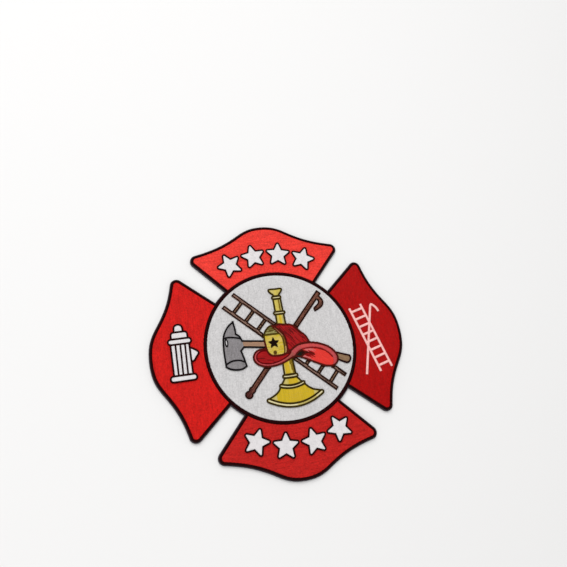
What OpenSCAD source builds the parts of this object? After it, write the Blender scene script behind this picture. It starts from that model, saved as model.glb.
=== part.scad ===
// Embroidered fire service patch: a cross of four arms round a ringed disc, lying flat with its face up.
// Millimetres. The origin is the middle of the underside, +Y points at the top arm, +Z out of the face.

/* [Layers] */
// Thickness of the cut cloth ground
ground_t = 1.0; // [0.8:0.05:2]
// Thickness of the stitched fields on the ground
field_t = 0.45; // [0.3:0.05:0.8]
// Thickness of the figures' coloured pads on the fields
pad_t = 0.35; // [0.2:0.05:0.4]
// Height of the dark lines round the figures above the fields
line_t = 0.6; // [0.5:0.05:0.9]
// Height of the domed borders above the ground
border_t = 0.95; // [0.7:0.05:1.4]
// Clear gap between neighbouring pieces
gap = 0.05; // [0.03:0.01:0.08]

/* [Centre and borders] */
// Radius of the white centre
disc_r = 33; // [32.5:0.1:33.5]
// Width of the black ring round the centre
ring_w = 1.55; // [1:0.05:1.8]
// Width of the dark border round each arm
border_w = 1.05; // [0.8:0.05:1.4]
// Width of cut cloth that shows outside the borders
cut_margin = 0.4; // [0.2:0.05:0.8]
// Radius of the arms' rounded tips
tip_round = 1.4; // [1:0.1:1.8]

/* [Top and bottom arms] */
// Height of the arm's crest above the patch centre
end_reach = 56.4; // [55:0.1:58]
// Point halfway down the crest, across and up from the patch centre
end_shoulder = [13.5, 51.6]; // [10:0.1:55]
// Fall of the crest at that point, per unit across
end_fall = 0.56; // [0.45:0.01:0.7]
// Sharp corner that the rounded tip is cut from
end_tip = [34.7, 44.3]; // [30:0.1:50]
// Angle from the arm's middle to its root on the ring
end_root = 35.3; // [33:0.1:37]

/* [Side arms] */
// Height of the arm's crest above the patch centre
side_reach = 56.2; // [55:0.1:58]
// Point halfway down the crest, across and up from the patch centre
side_shoulder = [14.5, 51.6]; // [10:0.1:55]
// Fall of the crest at that point, per unit across
side_fall = 0.65; // [0.5:0.01:0.75]
// Sharp corner that the rounded tip is cut from
side_tip = [35.4, 43.2]; // [30:0.1:50]
// Angle from the arm's middle to its root on the ring
side_root = 38.4; // [37:0.1:40]

/* [Stars] */
// Radius of a star's points before they are rounded
star_r = 6.0; // [5:0.1:6.2]
// Radius that rounds a star's points
star_blunt = 0.4; // [0.3:0.05:0.6]
// Width of the dark edge round a star
star_edge_w = 0.65; // [0.5:0.05:0.8]
// Radius of the notches between points, as a share of star_r
star_waist = 0.47; // [0.38:0.01:0.55]
// Distance of the stars from the patch centre
star_orbit = 43.4; // [42:0.1:44.5]
// Angle between neighbouring stars on the top arm
star_step_top = 15.7; // [15.5:0.1:16.5]
// Angle between neighbouring stars on the bottom arm
star_step_bottom = 16.6; // [15.5:0.1:17]

/* [Figures] */
// Width of the dark lines round the figures
line_w = 0.7; // [0.6:0.05:0.85]
// Width of the fine dark lines inside the helmet
fine_line_w = 0.4; // [0.3:0.05:0.6]
// Width of the white lines of the side arm's hook and ladder
side_line_w = 1.0; // [0.8:0.05:1.2]
// Distance between the rail middles of the crossing ladder
ladder_w = 7.5; // [7:0.1:8]
// Width of the crossing ladder's rails
ladder_rail_w = 1.8; // [1.5:0.1:2.2]
// Width of the crossing ladder's rungs
ladder_rung_w = 1.75; // [1.4:0.05:2.1]
// Distance between rungs of the crossing ladder
ladder_step = 6.55; // [6.5:0.05:6.6]
// Shift of the rungs along the ladder, towards its lower end
ladder_rung_shift = 0.6; // [0:0.1:1]
// Width of the pike pole
pike_w = 2.5; // [1.8:0.1:2.6]
// Radius of the pike pole's ball end
pike_ball_r = 1.8; // [1.5:0.1:2.2]

/* [Hidden] */
// Longest straight piece of a smooth outline
smooth_step = 1.1;
// Smallest number of pieces between two knots of a smooth outline
smooth_least = 2;
// Pieces in each half of an arm's crest, in its rounded tip and in its inner edge
crest_steps = 10;
tip_steps = 8;
root_steps = 16;
// Pieces in a small rounded corner
corner_steps = 4;
// Border ends stay this far off the ring, because they meet it at a slant
border_end_gap = 0.2;

field_z = ground_t + gap;
figure_z = field_z + field_t + gap;
ring_r = disc_r + ring_w;
// Cross-section of a domed border: across, up, as shares of its width and height
DOME = [[-0.5, 0], [0.5, 0], [0.5, 0.5], [0.28, 0.88], [0, 1], [-0.28, 0.88], [-0.5, 0.5]];

// Turn of each arm from the top one, clockwise
TOP = 0;
RIGHT = 90;
BOTTOM = 180;
LEFT = 270;

RED = [0.82, 0.16, 0.14];
WHITE = [0.84, 0.83, 0.82];
BLACK = [0.09, 0.07, 0.08];
CLOTH = [0.22, 0.22, 0.24];
YELLOW = [0.82, 0.70, 0.16];
PALE = [0.92, 0.86, 0.66];
OLIVE = [0.42, 0.39, 0.10];
WOOD = [0.66, 0.52, 0.42];
BROWN = [0.36, 0.24, 0.19];
STEEL = [0.56, 0.54, 0.55];
HELMET = [0.62, 0.08, 0.09];
ROLL = [0.80, 0.36, 0.38];
UNDERSIDE = [0.93, 0.24, 0.19];

// Hydrant pieces: lowest y, highest y, lowest x, highest x, corner radius at the foot, at the top
HYDRANT = [
    [11.55, 14.85, -46.1, -42.3, 0, 1.85],
    [8.55, 11.55, -47.65, -40.55, 0, 1.3],
    [6.15, 8.55, -49.1, -39.25, 1.15, 1.15],
    [-7.3, 6.15, -48.2, -40.25, 0, 0],
    [-9.85, -7.3, -49.75, -38.75, 1.2, 1.2]];
HYDRANT_CAP = 0;
HYDRANT_BONNET = 1;
HYDRANT_FLANGE = 2;
HYDRANT_BARREL = 3;
HYDRANT_BASE = 4;
// Dark flutes down the barrel: x at the flange, x at the base
FLUTES = [[-46.1, -46.3], [-44.05, -44.35], [-42.05, -42.35]];
// Side outlet: x, y, sharp corner
OUTLET = [
    [-40.25, 4.1, 1], [-39.1, 3.7, 0], [-37.0, 2.1, 0], [-36.8, 1.2, 0], [-38.0, -0.3, 0],
    [-38.9, -1.6, 0], [-40.25, -2.0, 1]];

// Side arm's ladder: foot and head of the left rail, rail distance, rungs and where the first and last sit
SIDE_FOOT = [43.2, -17.9];
SIDE_HEAD = [34.85, 12.9];
SIDE_W = 6.0;
SIDE_RUNGS = 8;
SIDE_FIRST = 0.085;
SIDE_LAST = 0.935;
// Hook on its pole, crossing the ladder: x, y, sharp corner
SIDE_HOOK = [
    [36.2, -18.4, 1], [45.4, 13.0, 1], [45.9, 13.7, 0], [46.7, 13.3, 0], [48.0, 11.9, 0], [48.8, 10.0, 1]];

// Helmet shell above the brim: x, y, sharp corner
CROWN = [
    [12.75, -0.5, 1], [11.3, 2.9, 0], [9.4, 4.8, 0], [8.3, 6.3, 0], [6.5, 8.1, 0], [4.6, 8.9, 0],
    [2.3, 9.1, 0], [0.2, 9.6, 0], [-1.9, 8.8, 1], [-3.0, 2.0, 1], [-2.0, -3.6, 1], [1.9, -3.9, 0],
    [4.3, -2.4, 0], [6.9, -0.95, 0], [9.6, -0.45, 0]];
// Whole brim: x, y, sharp corner
BRIM = [
    [-7.6, -0.9, 1], [-9.6, -0.85, 0], [-11.9, -1.4, 0], [-13.3, -3.0, 0], [-13.6, -4.7, 0],
    [-12.85, -6.5, 0], [-11.15, -7.8, 0], [-8.9, -8.65, 0], [-6.0, -8.85, 0], [-3.1, -8.55, 0], [0, -7.7, 0],
    [4.9, -5.9, 0], [8.2, -6.9, 0], [12.5, -9.1, 0], [16.3, -11.2, 0], [18.9, -12.1, 0], [21.5, -12.2, 0],
    [23.5, -11.1, 0], [24.3, -9.1, 0], [23.8, -6.9, 0], [22.4, -4.8, 0], [20.4, -3.1, 0], [17.8, -1.8, 0],
    [15.2, -0.95, 0], [12.75, -0.5, 0], [9.6, -0.45, 0], [6.9, -0.95, 0], [4.3, -2.4, 0], [1.9, -3.9, 1],
    [-2.0, -4.0, 1]];
// Seams between the rolled edge and the brim's near face, and its underside: x, y, sharp corner
ROLL_SEAM = [
    [-6.8, -1.6, 1], [-10.2, -1.7, 0], [-11.9, -2.9, 0], [-12.35, -4.6, 0], [-11.6, -6.1, 0],
    [-9.6, -7.2, 0], [-6.2, -7.7, 0], [-2.6, -7.1, 0], [0.6, -5.9, 0], [2.6, -4.6, 0], [4.2, -2.5, 1]];
UNDER_SEAM = [
    [3.9, -6.2, 1], [5.8, -4.6, 0], [7.8, -3.4, 0], [10.5, -2.85, 0], [14.2, -3.1, 0], [17.7, -4.2, 0],
    [20.2, -6.0, 0], [22.0, -8.4, 0], [22.2, -10.2, 0], [21.0, -12.6, 1]];
// First and last knot of the underside's seam that a dark line covers
STREAK_FROM = 1;
STREAK_TO = 7;
// Foot of a box that holds the whole underside below its seam
UNDER_BOX_Y = -14;
// Dark hollow under the brim, and the fold that runs on from it: x, y, sharp corner
HOLLOW = [
    [4.1, -6.1, 1], [5.7, -4.6, 0], [7.9, -3.4, 0], [11.2, -4.6, 1], [9.6, -5.4, 0], [7.8, -6.6, 0],
    [6.0, -6.3, 0]];
FOLD = [[9.8, -4.8, 1], [12.4, -5.3, 0], [14.0, -6.3, 1]];
// Front plate of the helmet: x, y, sharp corner
SHIELD = [
    [-7.5, 4.5, 0], [-7.4, 0.6, 0], [-6.95, -2.2, 0], [-5.9, -3.8, 0], [-4.2, -4.4, 0], [-0.3, -4.4, 0],
    [1.4, -3.9, 0], [2.1, -2.4, 0], [2.1, 2.4, 0], [1.6, 4.4, 0], [0.0, 6.6, 0], [-2.1, 8.7, 0],
    [-3.8, 9.2, 0], [-5.3, 8.4, 0], [-6.8, 6.6, 0]];
// Line between the shield's face and its side: x, y, sharp corner
SHIELD_SIDE = [
    [0.0, -4.6, 1], [0.6, -3.2, 0], [0.85, -1.8, 0], [0.8, 2.6, 0], [0.3, 4.3, 0], [-1.3, 6.5, 0],
    [-3.3, 9.2, 1]];
// Height of the line under the shield's crest, and the middle and radius of its star
CREST_Y = 5.2;
SHIELD_STAR = [-3.6, 1.35];
SHIELD_STAR_R = 2.6;

// Axe with the near stretch of its handle, which ends under the helmet: x, y, sharp corner
AXE = [
    [-20.2, 13.0, 1], [-22.3, 11.5, 0], [-24.0, 9.4, 0], [-25.2, 6.9, 0], [-25.75, 3.5, 0],
    [-26.0, -0.5, 0], [-25.95, -6.5, 1], [-24.3, -7.6, 0], [-21.5, -8.3, 0], [-19.0, -8.2, 0],
    [-17.15, -7.2, 1], [-17.9, -3.2, 0], [-18.6, -0.3, 1], [-17.0, 1.25, 1], [-6, -0.35, 1],
    [-6, 2.45, 1], [-17.4, 4.05, 1], [-18.1, 5.9, 0], [-18.9, 6.9, 0], [-19.8, 7.4, 1], [-19.75, 9.5, 0]];
// Seam between the head and the handle, and a box that holds the whole head on its left
AXE_SEAM = [[-17.6, 6], [-16.8, -0.6]];
AXE_HEAD_BOX = [[-16.8, -12], [-30, -12], [-30, 16], [-17.6, 16]];
// Lines across the axe head: x, y, sharp corner
AXE_COLLAR = [[-25.3, 6.1, 1], [-23.4, 6.35, 0], [-20.6, 5.95, 0], [-17.9, 5.2, 1]];
AXE_FACE = [[-25.9, -5.5, 1], [-23.9, -4.5, 0], [-21.6, -4.15, 0], [-19.3, -4.5, 0], [-17.6, -5.4, 1]];
// Eye of the axe head: middle, outer half width and half height, inner ones
AXE_EYE = [-24.35, 4.0];
AXE_EYE_SIZE = [0.75, 1.95];
AXE_EYE_HOLE = [0.25, 1.2];
// End of the handle, right of the helmet: x, y, sharp corner
AXE_HANDLE_END = [
    [20, -5.1, 1], [20, -7.6, 1], [28.0, -11.9, 1], [29.3, -11.5, 0], [30.2, -10.1, 0], [29.9, -8.8, 1]];

// Trumpet's mouthpiece: x, y, sharp corner
MOUTHPIECE = [
    [0.4, 22.8, 1], [2.45, 22.8, 1], [2.9, 23.6, 0], [3.95, 24.8, 0], [4.4, 25.7, 0], [4.1, 26.2, 0],
    [1.3, 26.2, 0], [-1.5, 26.2, 0], [-1.8, 25.7, 0], [-1.35, 24.8, 0], [-0.1, 23.6, 0]];
// Trumpet's tubes and throat: highest y, lowest y, left and right at the top, left and right at the foot
TUBES = [
    [21.4, 15.4, -0.35, 3.15, -0.35, 3.2],
    [14.2, 7.0, -0.4, 3.25, -0.6, 3.4],
    [-4.0, -13.4, -1.0, 3.4, -1.4, 3.65],
    [-14.8, -17.3, -1.5, 3.85, -3.3, 5.75]];
THROAT = 3;
// Pale rolls: x and y of the left end, x and y of the right end, sag between them, width
ROLLS = [
    [-0.15, 22.1, 2.8, 22.1, 0, 1.25],
    [-0.6, 14.8, 3.4, 14.8, 0, 1.2],
    [-1.6, -14.05, 3.8, -14.05, 0.2, 1.3],
    [-3.7, -17.9, 6.3, -17.75, 0.9, 1.3],
    [-10.1, -23.3, 13.8, -22.85, 3.65, 1.5]];
ROLL_STEPS = 16;
BELL_BAND = 3;
BELL_RIM = 4;
// Flares of the bell, from its band down to its rim: x, y, sharp corner
BELL_LEFT = [[-4.15, -18.4, 1], [-5.2, -20.0, 0], [-6.9, -21.3, 0], [-9.8, -22.6, 1]];
BELL_RIGHT = [[6.75, -18.2, 1], [8.3, -19.9, 0], [10.3, -21.25, 1], [13.5, -22.15, 1]];

// Crossing ladder: middle, slope, half length, and the rungs seen above and below the helmet
LADDER_MIDDLE = [1.4, 1.6];
LADDER_SLOPE = -44;
LADDER_HALF = 31;
LADDER_UPPER_RUNGS = [-4, -3, -2];
LADDER_LOWER_RUNGS = [2, 3, 4];
// How far the rails run in behind the helmet, measured from the ladder's middle
LADDER_UPPER_END = -7;
LADDER_LOWER_START = 5;
// Pike pole: its tip, the middle of its ball, and its collar's distance from there and half sizes
PIKE_TIP = [21.8, 22.7];
PIKE_BALL = [-18.1, -19.6];
PIKE_COLLAR = 2.5;
PIKE_COLLAR_SIZE = [1.6, 1.6];
// Hook of the pike pole: x, y, sharp corner
PIKE_HOOK = [
    [20.9, 21.3, 1], [22.5, 19.6, 0], [23.1, 17.9, 0], [22.7, 16.3, 0], [21.4, 15.0, 0], [19.7, 14.1, 0],
    [18.0, 13.4, 1], [17.75, 14.9, 1], [18.6, 15.9, 0], [20.1, 17.0, 0], [20.6, 17.9, 0], [20.1, 19.2, 1],
    [19.4, 19.8, 1]];
// Where the pole goes in behind the helmet, as shares of its length from the ball
PIKE_LOWER_END = 0.3;
PIKE_UPPER_START = 0.55;

// Curves and outlines

function unit(v) = v / norm(v);

// Right-hand side of a direction, which is outwards on a counterclockwise outline
function right_of(v) = [v[1], -v[0]];

function arc(middle, r, from, to, steps) =
    [for (i = [0 : steps]) let (a = from + (to - from) * i / steps) middle + r * [cos(a), sin(a)]];

// Bezier curve without its last point, so that pieces of an outline can be joined
function bezier(a, b, c, d, steps) =
    [for (i = [0 : steps - 1]) let (t = i / steps, s = 1 - t)
        s * s * s * a + 3 * s * s * t * b + 3 * s * t * t * c + t * t * t * d];

// Arc that rounds the corner b between a and c
function rounded(a, b, c, r, steps) =
    let (
        p = unit(a - b),
        q = unit(c - b),
        half = acos(p * q) / 2,
        middle = b + unit(p + q) * r / sin(half),
        start = b + p * r / tan(half) - middle,
        end = b + q * r / tan(half) - middle,
        from = atan2(start[1], start[0]),
        raw = atan2(end[1], end[0]) - from,
        turn = raw > 180 ? raw - 360 : raw < -180 ? raw + 360 : raw
    )
    arc(middle, r, from, from + turn, steps);

// Smooth curve through knots of x, y and a flag that is 1 at a sharp corner.
// A stretch between two corners is straight. An open curve keeps its last knot.
function heading(knots, i, closed) =
    let (
        n = len(knots),
        before = closed ? knots[(i + n - 1) % n] : knots[max(i - 1, 0)],
        after = closed ? knots[(i + 1) % n] : knots[min(i + 1, n - 1)]
    )
    unit([after[0] - before[0], after[1] - before[1]]);
function stretch(knots, i, closed) =
    let (
        j = (i + 1) % len(knots),
        a = [knots[i][0], knots[i][1]],
        b = [knots[j][0], knots[j][1]],
        span = norm(b - a),
        go = knots[i][2] == 1 ? unit(b - a) : heading(knots, i, closed),
        come = knots[j][2] == 1 ? unit(b - a) : heading(knots, j, closed),
        straight = knots[i][2] == 1 && knots[j][2] == 1,
        steps = straight ? 1 : max(smooth_least, ceil(span / smooth_step))
    )
    bezier(a, a + go * span / 3, b - come * span / 3, b, steps);
function smooth(knots, closed = true) =
    let (last = len(knots) - 1)
    [for (i = [0 : closed ? last : last - 1], p = stretch(knots, i, closed)) p,
        if (!closed) [knots[last][0], knots[last][1]]];

// Sideways shift of a point, mitred between the edges that meet there
function mitre(before, at, after, d) =
    let (
        n0 = right_of(unit(at - before)),
        n1 = right_of(unit(after - at)),
        m = unit(n0 + n1)
    )
    at + m * d / max(m * n0, 0.35);

// Counterclockwise outline moved outwards by d, or inwards where d is negative
function grown(loop, d) =
    let (n = len(loop))
    [for (i = [0 : n - 1]) mitre(loop[(i + n - 1) % n], loop[i], loop[(i + 1) % n], d)];

// Open path moved to its right by d
function shifted(path, d) =
    let (last = len(path) - 1)
    [for (i = [0 : last])
        mitre(i == 0 ? 2 * path[0] - path[1] : path[i - 1], path[i],
            i == last ? 2 * path[last] - path[last - 1] : path[i + 1], d)];

function reversed(list) = [for (i = [len(list) - 1 : -1 : 0]) list[i]];

// List without its two ends
function inner(list) = [for (i = [1 : len(list) - 2]) list[i]];

// Oval round the origin with the given half width and half height
function oval(half) = [for (i = [0 : 15]) [half[0] * cos(i * 22.5), half[1] * sin(i * 22.5)]];

// Strip of width w along an open path
function ribbon(path, w) = concat(shifted(path, w / 2), reversed(shifted(path, -w / 2)));

// Twice the area of a loop, positive when it runs counterclockwise
function winding(loop) =
    let (n = len(loop))
    [for (i = [0 : n - 1]) loop[i][0] * loop[(i + 1) % n][1] - loop[(i + 1) % n][0] * loop[i][1]]
        * [for (i = [0 : n - 1]) 1];
function counterclockwise(loop) = winding(loop) > 0 ? loop : reversed(loop);

// Edge from a to b that sags by the given depth in its middle
function sagging(a, b, sag, steps) =
    [for (i = [0 : steps]) let (t = i / steps) a + (b - a) * t - [0, 4 * sag * t * (1 - t)]];

// Line of width w along the outline of a loop
module line_round(loop, w) {
    difference() {
        polygon(grown(loop, w / 2));
        polygon(grown(loop, -w / 2));
    }
}

module line_along(path, w) {
    polygon(ribbon(path, w));
}

// Coloured pad of a figure, standing on the field
module pad(t = pad_t) {
    translate([0, 0, figure_z]) linear_extrude(t) children();
}

// Dark line that lies over a pad instead of beside it
module over_pad() {
    translate([0, 0, figure_z + pad_t + gap]) linear_extrude(line_t - pad_t - gap) children();
}

// Arms

// Edge of an arm's field: from its right root over the crest to its left root, at radius r on the ring
function arm_edge(reach, shoulder, fall, tip, root, r) =
    let (
        across = tip[0] - shoulder[0],
        start = r * [sin(root), cos(root)],
        outer = bezier(shoulder, shoulder + across * 0.3 * [1, -fall], tip + across * 0.45 * [-1, 0.2], tip,
            crest_steps),
        crest = bezier([0, reach], [shoulder[0] / 2, reach], shoulder + shoulder[0] * 0.3 * [-1, fall],
            shoulder, crest_steps),
        corner = rounded(start, tip, outer[crest_steps - 1], tip_round, tip_steps),
        half = concat([start], corner, reversed(outer), reversed(crest))
    )
    concat(half, [for (i = [len(half) - 2 : -1 : 0]) [-half[i][0], half[i][1]]]);
function end_edge(r) = arm_edge(end_reach, end_shoulder, end_fall, end_tip, end_root, r);
function side_edge(r) = arm_edge(side_reach, side_shoulder, side_fall, side_tip, side_root, r);
function arm_loop(edge, root, r) =
    concat(edge, [for (i = [1 : root_steps - 1]) let (a = -root + 2 * root * i / root_steps)
        r * [sin(a), cos(a)]]);
function end_loop(r) = arm_loop(end_edge(r), end_root, r);
function side_loop(r) = arm_loop(side_edge(r), side_root, r);

module turned(turn) {
    rotate([0, 0, -turn]) children();
}

module arm_field(turn, loop) {
    color(RED) turned(turn) translate([0, 0, field_z]) linear_extrude(field_t) polygon(loop);
}

// Domed strip along an open path, from closed sections
module satin_strip(path, w, t) {
    sections = len(DOME);
    count = len(path);
    across = [for (s = DOME) shifted(path, s[0] * w)];
    points = [for (i = [0 : count - 1], j = [0 : sections - 1]) [across[j][i][0], across[j][i][1],
        DOME[j][1] * t]];
    sides = [for (i = [0 : count - 2], j = [0 : sections - 1]) let (k = (j + 1) % sections)
        [i * sections + j, (i + 1) * sections + j, (i + 1) * sections + k, i * sections + k]];
    first = [for (j = [0 : sections - 1]) j];
    last = [for (j = [sections - 1 : -1 : 0]) (count - 1) * sections + j];
    polyhedron(points, concat(sides, [first, last]), convexity = 6);
}

module arm_border(turn, edge) {
    color(BLACK) turned(turn) translate([0, 0, field_z])
        satin_strip(shifted(edge, border_w / 2 + gap), border_w, border_t);
}

// Base

module ground() {
    color(CLOTH) linear_extrude(ground_t) {
        circle(r = ring_r + cut_margin, $fn = 96);
        for (turn = [TOP, BOTTOM]) turned(turn)
            polygon(grown(end_loop(ring_r), border_w + gap + cut_margin));
        for (turn = [RIGHT, LEFT]) turned(turn)
            polygon(grown(side_loop(ring_r), border_w + gap + cut_margin));
    }
}

module centre_field() {
    color(WHITE) translate([0, 0, field_z]) cylinder(r = disc_r - gap, h = field_t, $fn = 96);
}

module centre_ring() {
    color(BLACK) translate([0, 0, field_z]) rotate_extrude($fn = 96)
        translate([disc_r + ring_w / 2, 0]) polygon([for (s = DOME) [s[0] * ring_w, s[1] * border_t]]);
}

// Stars

// Five-pointed star whose first point lies in the direction aim, its points rounded by the radius blunt
function star_corner(middle, r, aim, i) =
    let (a = aim + 36 * i) middle + r * (i % 2 == 0 ? 1 : star_waist) * [cos(a), sin(a)];
function star(middle, r, aim, blunt) =
    let (p = [for (i = [0 : 9]) star_corner(middle, r, aim, i)])
    [for (i = [0 : 9], q = i % 2 == 1 || blunt == 0 ? [p[i]]
        : rounded(p[(i + 9) % 10], p[i], p[i + 1], blunt, corner_steps)) q];
// Star number i of a row: along the top arm it points outwards, along the bottom arm at the centre
function top_star(i) =
    let (a = 90 - (i - 2.5) * star_step_top)
    star(star_orbit * [cos(a), sin(a)], star_r, a, star_blunt);
function bottom_star(i) =
    let (a = -90 + (i - 2.5) * star_step_bottom)
    star(star_orbit * [cos(a), sin(a)], star_r, a + 180, star_blunt);

module white_star(loop) {
    color(WHITE) pad() polygon(grown(loop, -gap));
}

module star_edges(loops) {
    color(BLACK) pad(line_t) for (loop = loops) difference() {
        polygon(grown(loop, star_edge_w));
        polygon(loop);
    }
}

// Hydrant

// Box with its foot and its top rounded by their own radii
function soft_box(row) =
    let (
        y0 = row[0], y1 = row[1], x0 = row[2], x1 = row[3], foot = row[4], top = row[5],
        low_left = foot == 0 ? [[x0, y0]] : arc([x0 + foot, y0 + foot], foot, 180, 270, corner_steps),
        low_right = foot == 0 ? [[x1, y0]] : arc([x1 - foot, y0 + foot], foot, -90, 0, corner_steps),
        top_right = top == 0 ? [[x1, y1]] : arc([x1 - top, y1 - top], top, 0, 90, corner_steps),
        top_left = top == 0 ? [[x0, y1]] : arc([x0 + top, y1 - top], top, 90, 180, corner_steps)
    )
    concat(low_left, low_right, top_right, top_left);
function outlet() = counterclockwise(smooth(OUTLET));

module hydrant_lines(w) {
    for (row = HYDRANT) line_round(soft_box(row), w);
    line_round(outlet(), w);
}

module hydrant_pad(loop) {
    color(WHITE) pad() difference() {
        polygon(loop);
        hydrant_lines(line_w + 2 * gap);
    }
}

module hydrant_outline() {
    top = HYDRANT[HYDRANT_BARREL][1];
    foot = HYDRANT[HYDRANT_BARREL][0];
    color(BLACK) {
        pad(line_t) hydrant_lines(line_w);
        over_pad() for (x = FLUTES) line_along([[x[0], top], [x[1], foot]], line_w);
    }
}

// Hook and ladder of the right arm

module side_hook_and_ladder() {
    along = SIDE_HEAD - SIDE_FOOT;
    across = SIDE_W * right_of(unit(along));
    color(WHITE) pad() {
        for (foot = [SIDE_FOOT, SIDE_FOOT + across]) line_along([foot, foot + along], side_line_w);
        for (i = [0 : SIDE_RUNGS - 1]) {
            at = SIDE_FOOT + along * (SIDE_FIRST + (SIDE_LAST - SIDE_FIRST) * i / (SIDE_RUNGS - 1));
            line_along([at, at + across], side_line_w);
        }
        line_along(smooth(SIDE_HOOK, false), side_line_w);
    }
}

// Helmet

function crown() = counterclockwise(smooth(CROWN));
function brim() = counterclockwise(smooth(BRIM));
function shield() = counterclockwise(smooth(SHIELD));

// Whole helmet, moved outwards by d
module helmet_shape(d) {
    polygon(grown(crown(), d));
    polygon(grown(brim(), d));
    polygon(grown(shield(), d));
}

// Dark lines of the helmet, each wider by extra on both sides
module helmet_lines(extra) {
    w = line_w + 2 * extra;
    fine_w = fine_line_w + 2 * extra;
    difference() {
        union() {
            line_round(crown(), w);
            line_round(brim(), w);
            line_along(smooth([for (i = [STREAK_FROM : STREAK_TO]) UNDER_SEAM[i]], false), fine_w);
            line_along(smooth(FOLD, false), fine_w);
            polygon(grown(counterclockwise(smooth(HOLLOW)), extra));
        }
        polygon(shield());
    }
    line_round(shield(), w);
    intersection() {
        polygon(shield());
        line_along(smooth(SHIELD_SIDE, false), fine_w);
    }
    intersection() {
        shield_face();
        line_along([[-9, CREST_Y], [3, CREST_Y]], fine_w);
    }
}

module helmet_pad() {
    pad() difference() {
        children();
        helmet_lines(gap);
        line_along(smooth(ROLL_SEAM, false), 2 * gap);
        line_along(smooth(UNDER_SEAM, false), 2 * gap);
    }
}

// Part of the brim that the rolled edge leaves: the near face on the left, the underside on the right
module near_face() {
    polygon(concat(smooth(ROLL_SEAM, false), [[1.9, -3.9], [0, -2], [-6, -1.5]]));
}

module underside() {
    seam = smooth(UNDER_SEAM, false);
    polygon(concat(seam, [[seam[len(seam) - 1][0], UNDER_BOX_Y], [seam[0][0], UNDER_BOX_Y]]));
}

// Front of the shield, and the side that shows past it
module shield_side() {
    polygon(concat(smooth(SHIELD_SIDE, false), [[5, 9.3], [5, -4.6]]));
}

module shield_face() {
    difference() {
        polygon(shield());
        shield_side();
    }
}

module helmet_crown() {
    color(HELMET) helmet_pad() difference() {
        polygon(crown());
        polygon(shield());
    }
}

module helmet_brim() {
    color(HELMET) helmet_pad() difference() {
        near_face();
        polygon(shield());
    }
}

module helmet_brim_underside() {
    color(UNDERSIDE) helmet_pad() intersection() {
        polygon(brim());
        underside();
    }
}

module helmet_brim_roll() {
    color(ROLL) helmet_pad() difference() {
        polygon(brim());
        near_face();
        underside();
        polygon(shield());
    }
}

module helmet_shield() {
    color(YELLOW) difference() {
        helmet_pad() intersection() {
            shield_face();
            translate([-10, CREST_Y - 20]) square([20, 20]);
        }
        translate([0, 0, figure_z + pad_t / 2]) linear_extrude(pad_t)
            polygon(star(SHIELD_STAR, SHIELD_STAR_R + 3 * gap, 90, 0));
    }
}

module helmet_shield_side() {
    color(WOOD) helmet_pad() intersection() {
        polygon(shield());
        shield_side();
    }
}

module helmet_shield_crest() {
    color(OLIVE) helmet_pad() intersection() {
        shield_face();
        translate([-10, CREST_Y]) square([20, 20]);
    }
}

module helmet_shield_star() {
    color(BLACK) translate([0, 0, figure_z + pad_t / 2 + gap]) linear_extrude(line_t - pad_t / 2 - gap)
        polygon(star(SHIELD_STAR, SHIELD_STAR_R, 90, 0));
}

module helmet_outline() {
    color(BLACK) pad(line_t) helmet_lines(0);
}

// Axe

function axe() = counterclockwise(smooth(AXE));
function axe_end() = counterclockwise(smooth(AXE_HANDLE_END));

module behind_helmet() {
    difference() {
        children();
        helmet_shape(line_w / 2 + gap);
    }
}

// Part of the axe on the head's side of its seam
module head_side(margin) {
    polygon(concat(shifted(AXE_SEAM, margin), AXE_HEAD_BOX));
}

module axe_head() {
    color(STEEL) pad() intersection() {
        polygon(grown(axe(), -line_w / 2 - gap));
        head_side(gap);
    }
}

module axe_handle() {
    color(WOOD) pad() behind_helmet() difference() {
        polygon(grown(axe(), -line_w / 2 - gap));
        head_side(0);
    }
}

module axe_outline() {
    color(BLACK) {
        pad(line_t) behind_helmet() line_round(axe(), line_w);
        over_pad() intersection() {
            polygon(axe());
            union() {
                line_along(smooth(AXE_COLLAR, false), line_w);
                line_along(smooth(AXE_FACE, false), line_w);
                translate(AXE_EYE) difference() {
                    polygon(oval(AXE_EYE_SIZE));
                    polygon(oval(AXE_EYE_HOLE));
                }
            }
        }
    }
}

module axe_handle_end() {
    color(WOOD) pad() behind_helmet() polygon(grown(axe_end(), -line_w / 2 - gap));
}

module axe_handle_end_outline() {
    color(BLACK) pad(line_t) behind_helmet() line_round(axe_end(), line_w);
}

// Trumpet

function tube(row, sag = 0) =
    counterclockwise(concat([[row[2], row[0]], [row[3], row[0]]],
        reversed(sagging([row[4], row[1]], [row[5], row[1]], sag, sag == 0 ? 1 : 8))));
// Sagging middle line of a roll, and its round-ended outline
function roll_path(row) = sagging([row[0], row[1]], [row[2], row[3]], row[4], row[4] == 0 ? 1 : ROLL_STEPS);
function round_ended(path, w) =
    let (
        last = len(path) - 1,
        a = path[0] - path[1],
        b = path[last] - path[last - 1],
        a_turn = atan2(a[1], a[0]),
        b_turn = atan2(b[1], b[0]),
        below = shifted(path, w / 2),
        above = reversed(shifted(path, -w / 2))
    )
    concat(below, inner(arc(path[last], w / 2, b_turn - 90, b_turn + 90, 2 * corner_steps)),
        above, inner(arc(path[0], w / 2, a_turn - 90, a_turn + 90, 2 * corner_steps)));
function roll(row) = round_ended(roll_path(row), row[5]);
function throat() = tube(TUBES[THROAT], ROLLS[BELL_BAND][4]);
function bell() =
    let (
        band = ROLLS[BELL_BAND],
        rim = ROLLS[BELL_RIM]
    )
    counterclockwise(concat(smooth(BELL_LEFT, false), inner(shifted(roll_path(rim), -rim[5] / 2)),
        reversed(smooth(BELL_RIGHT, false)), reversed(inner(shifted(roll_path(band), band[5] / 2)))));
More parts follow.
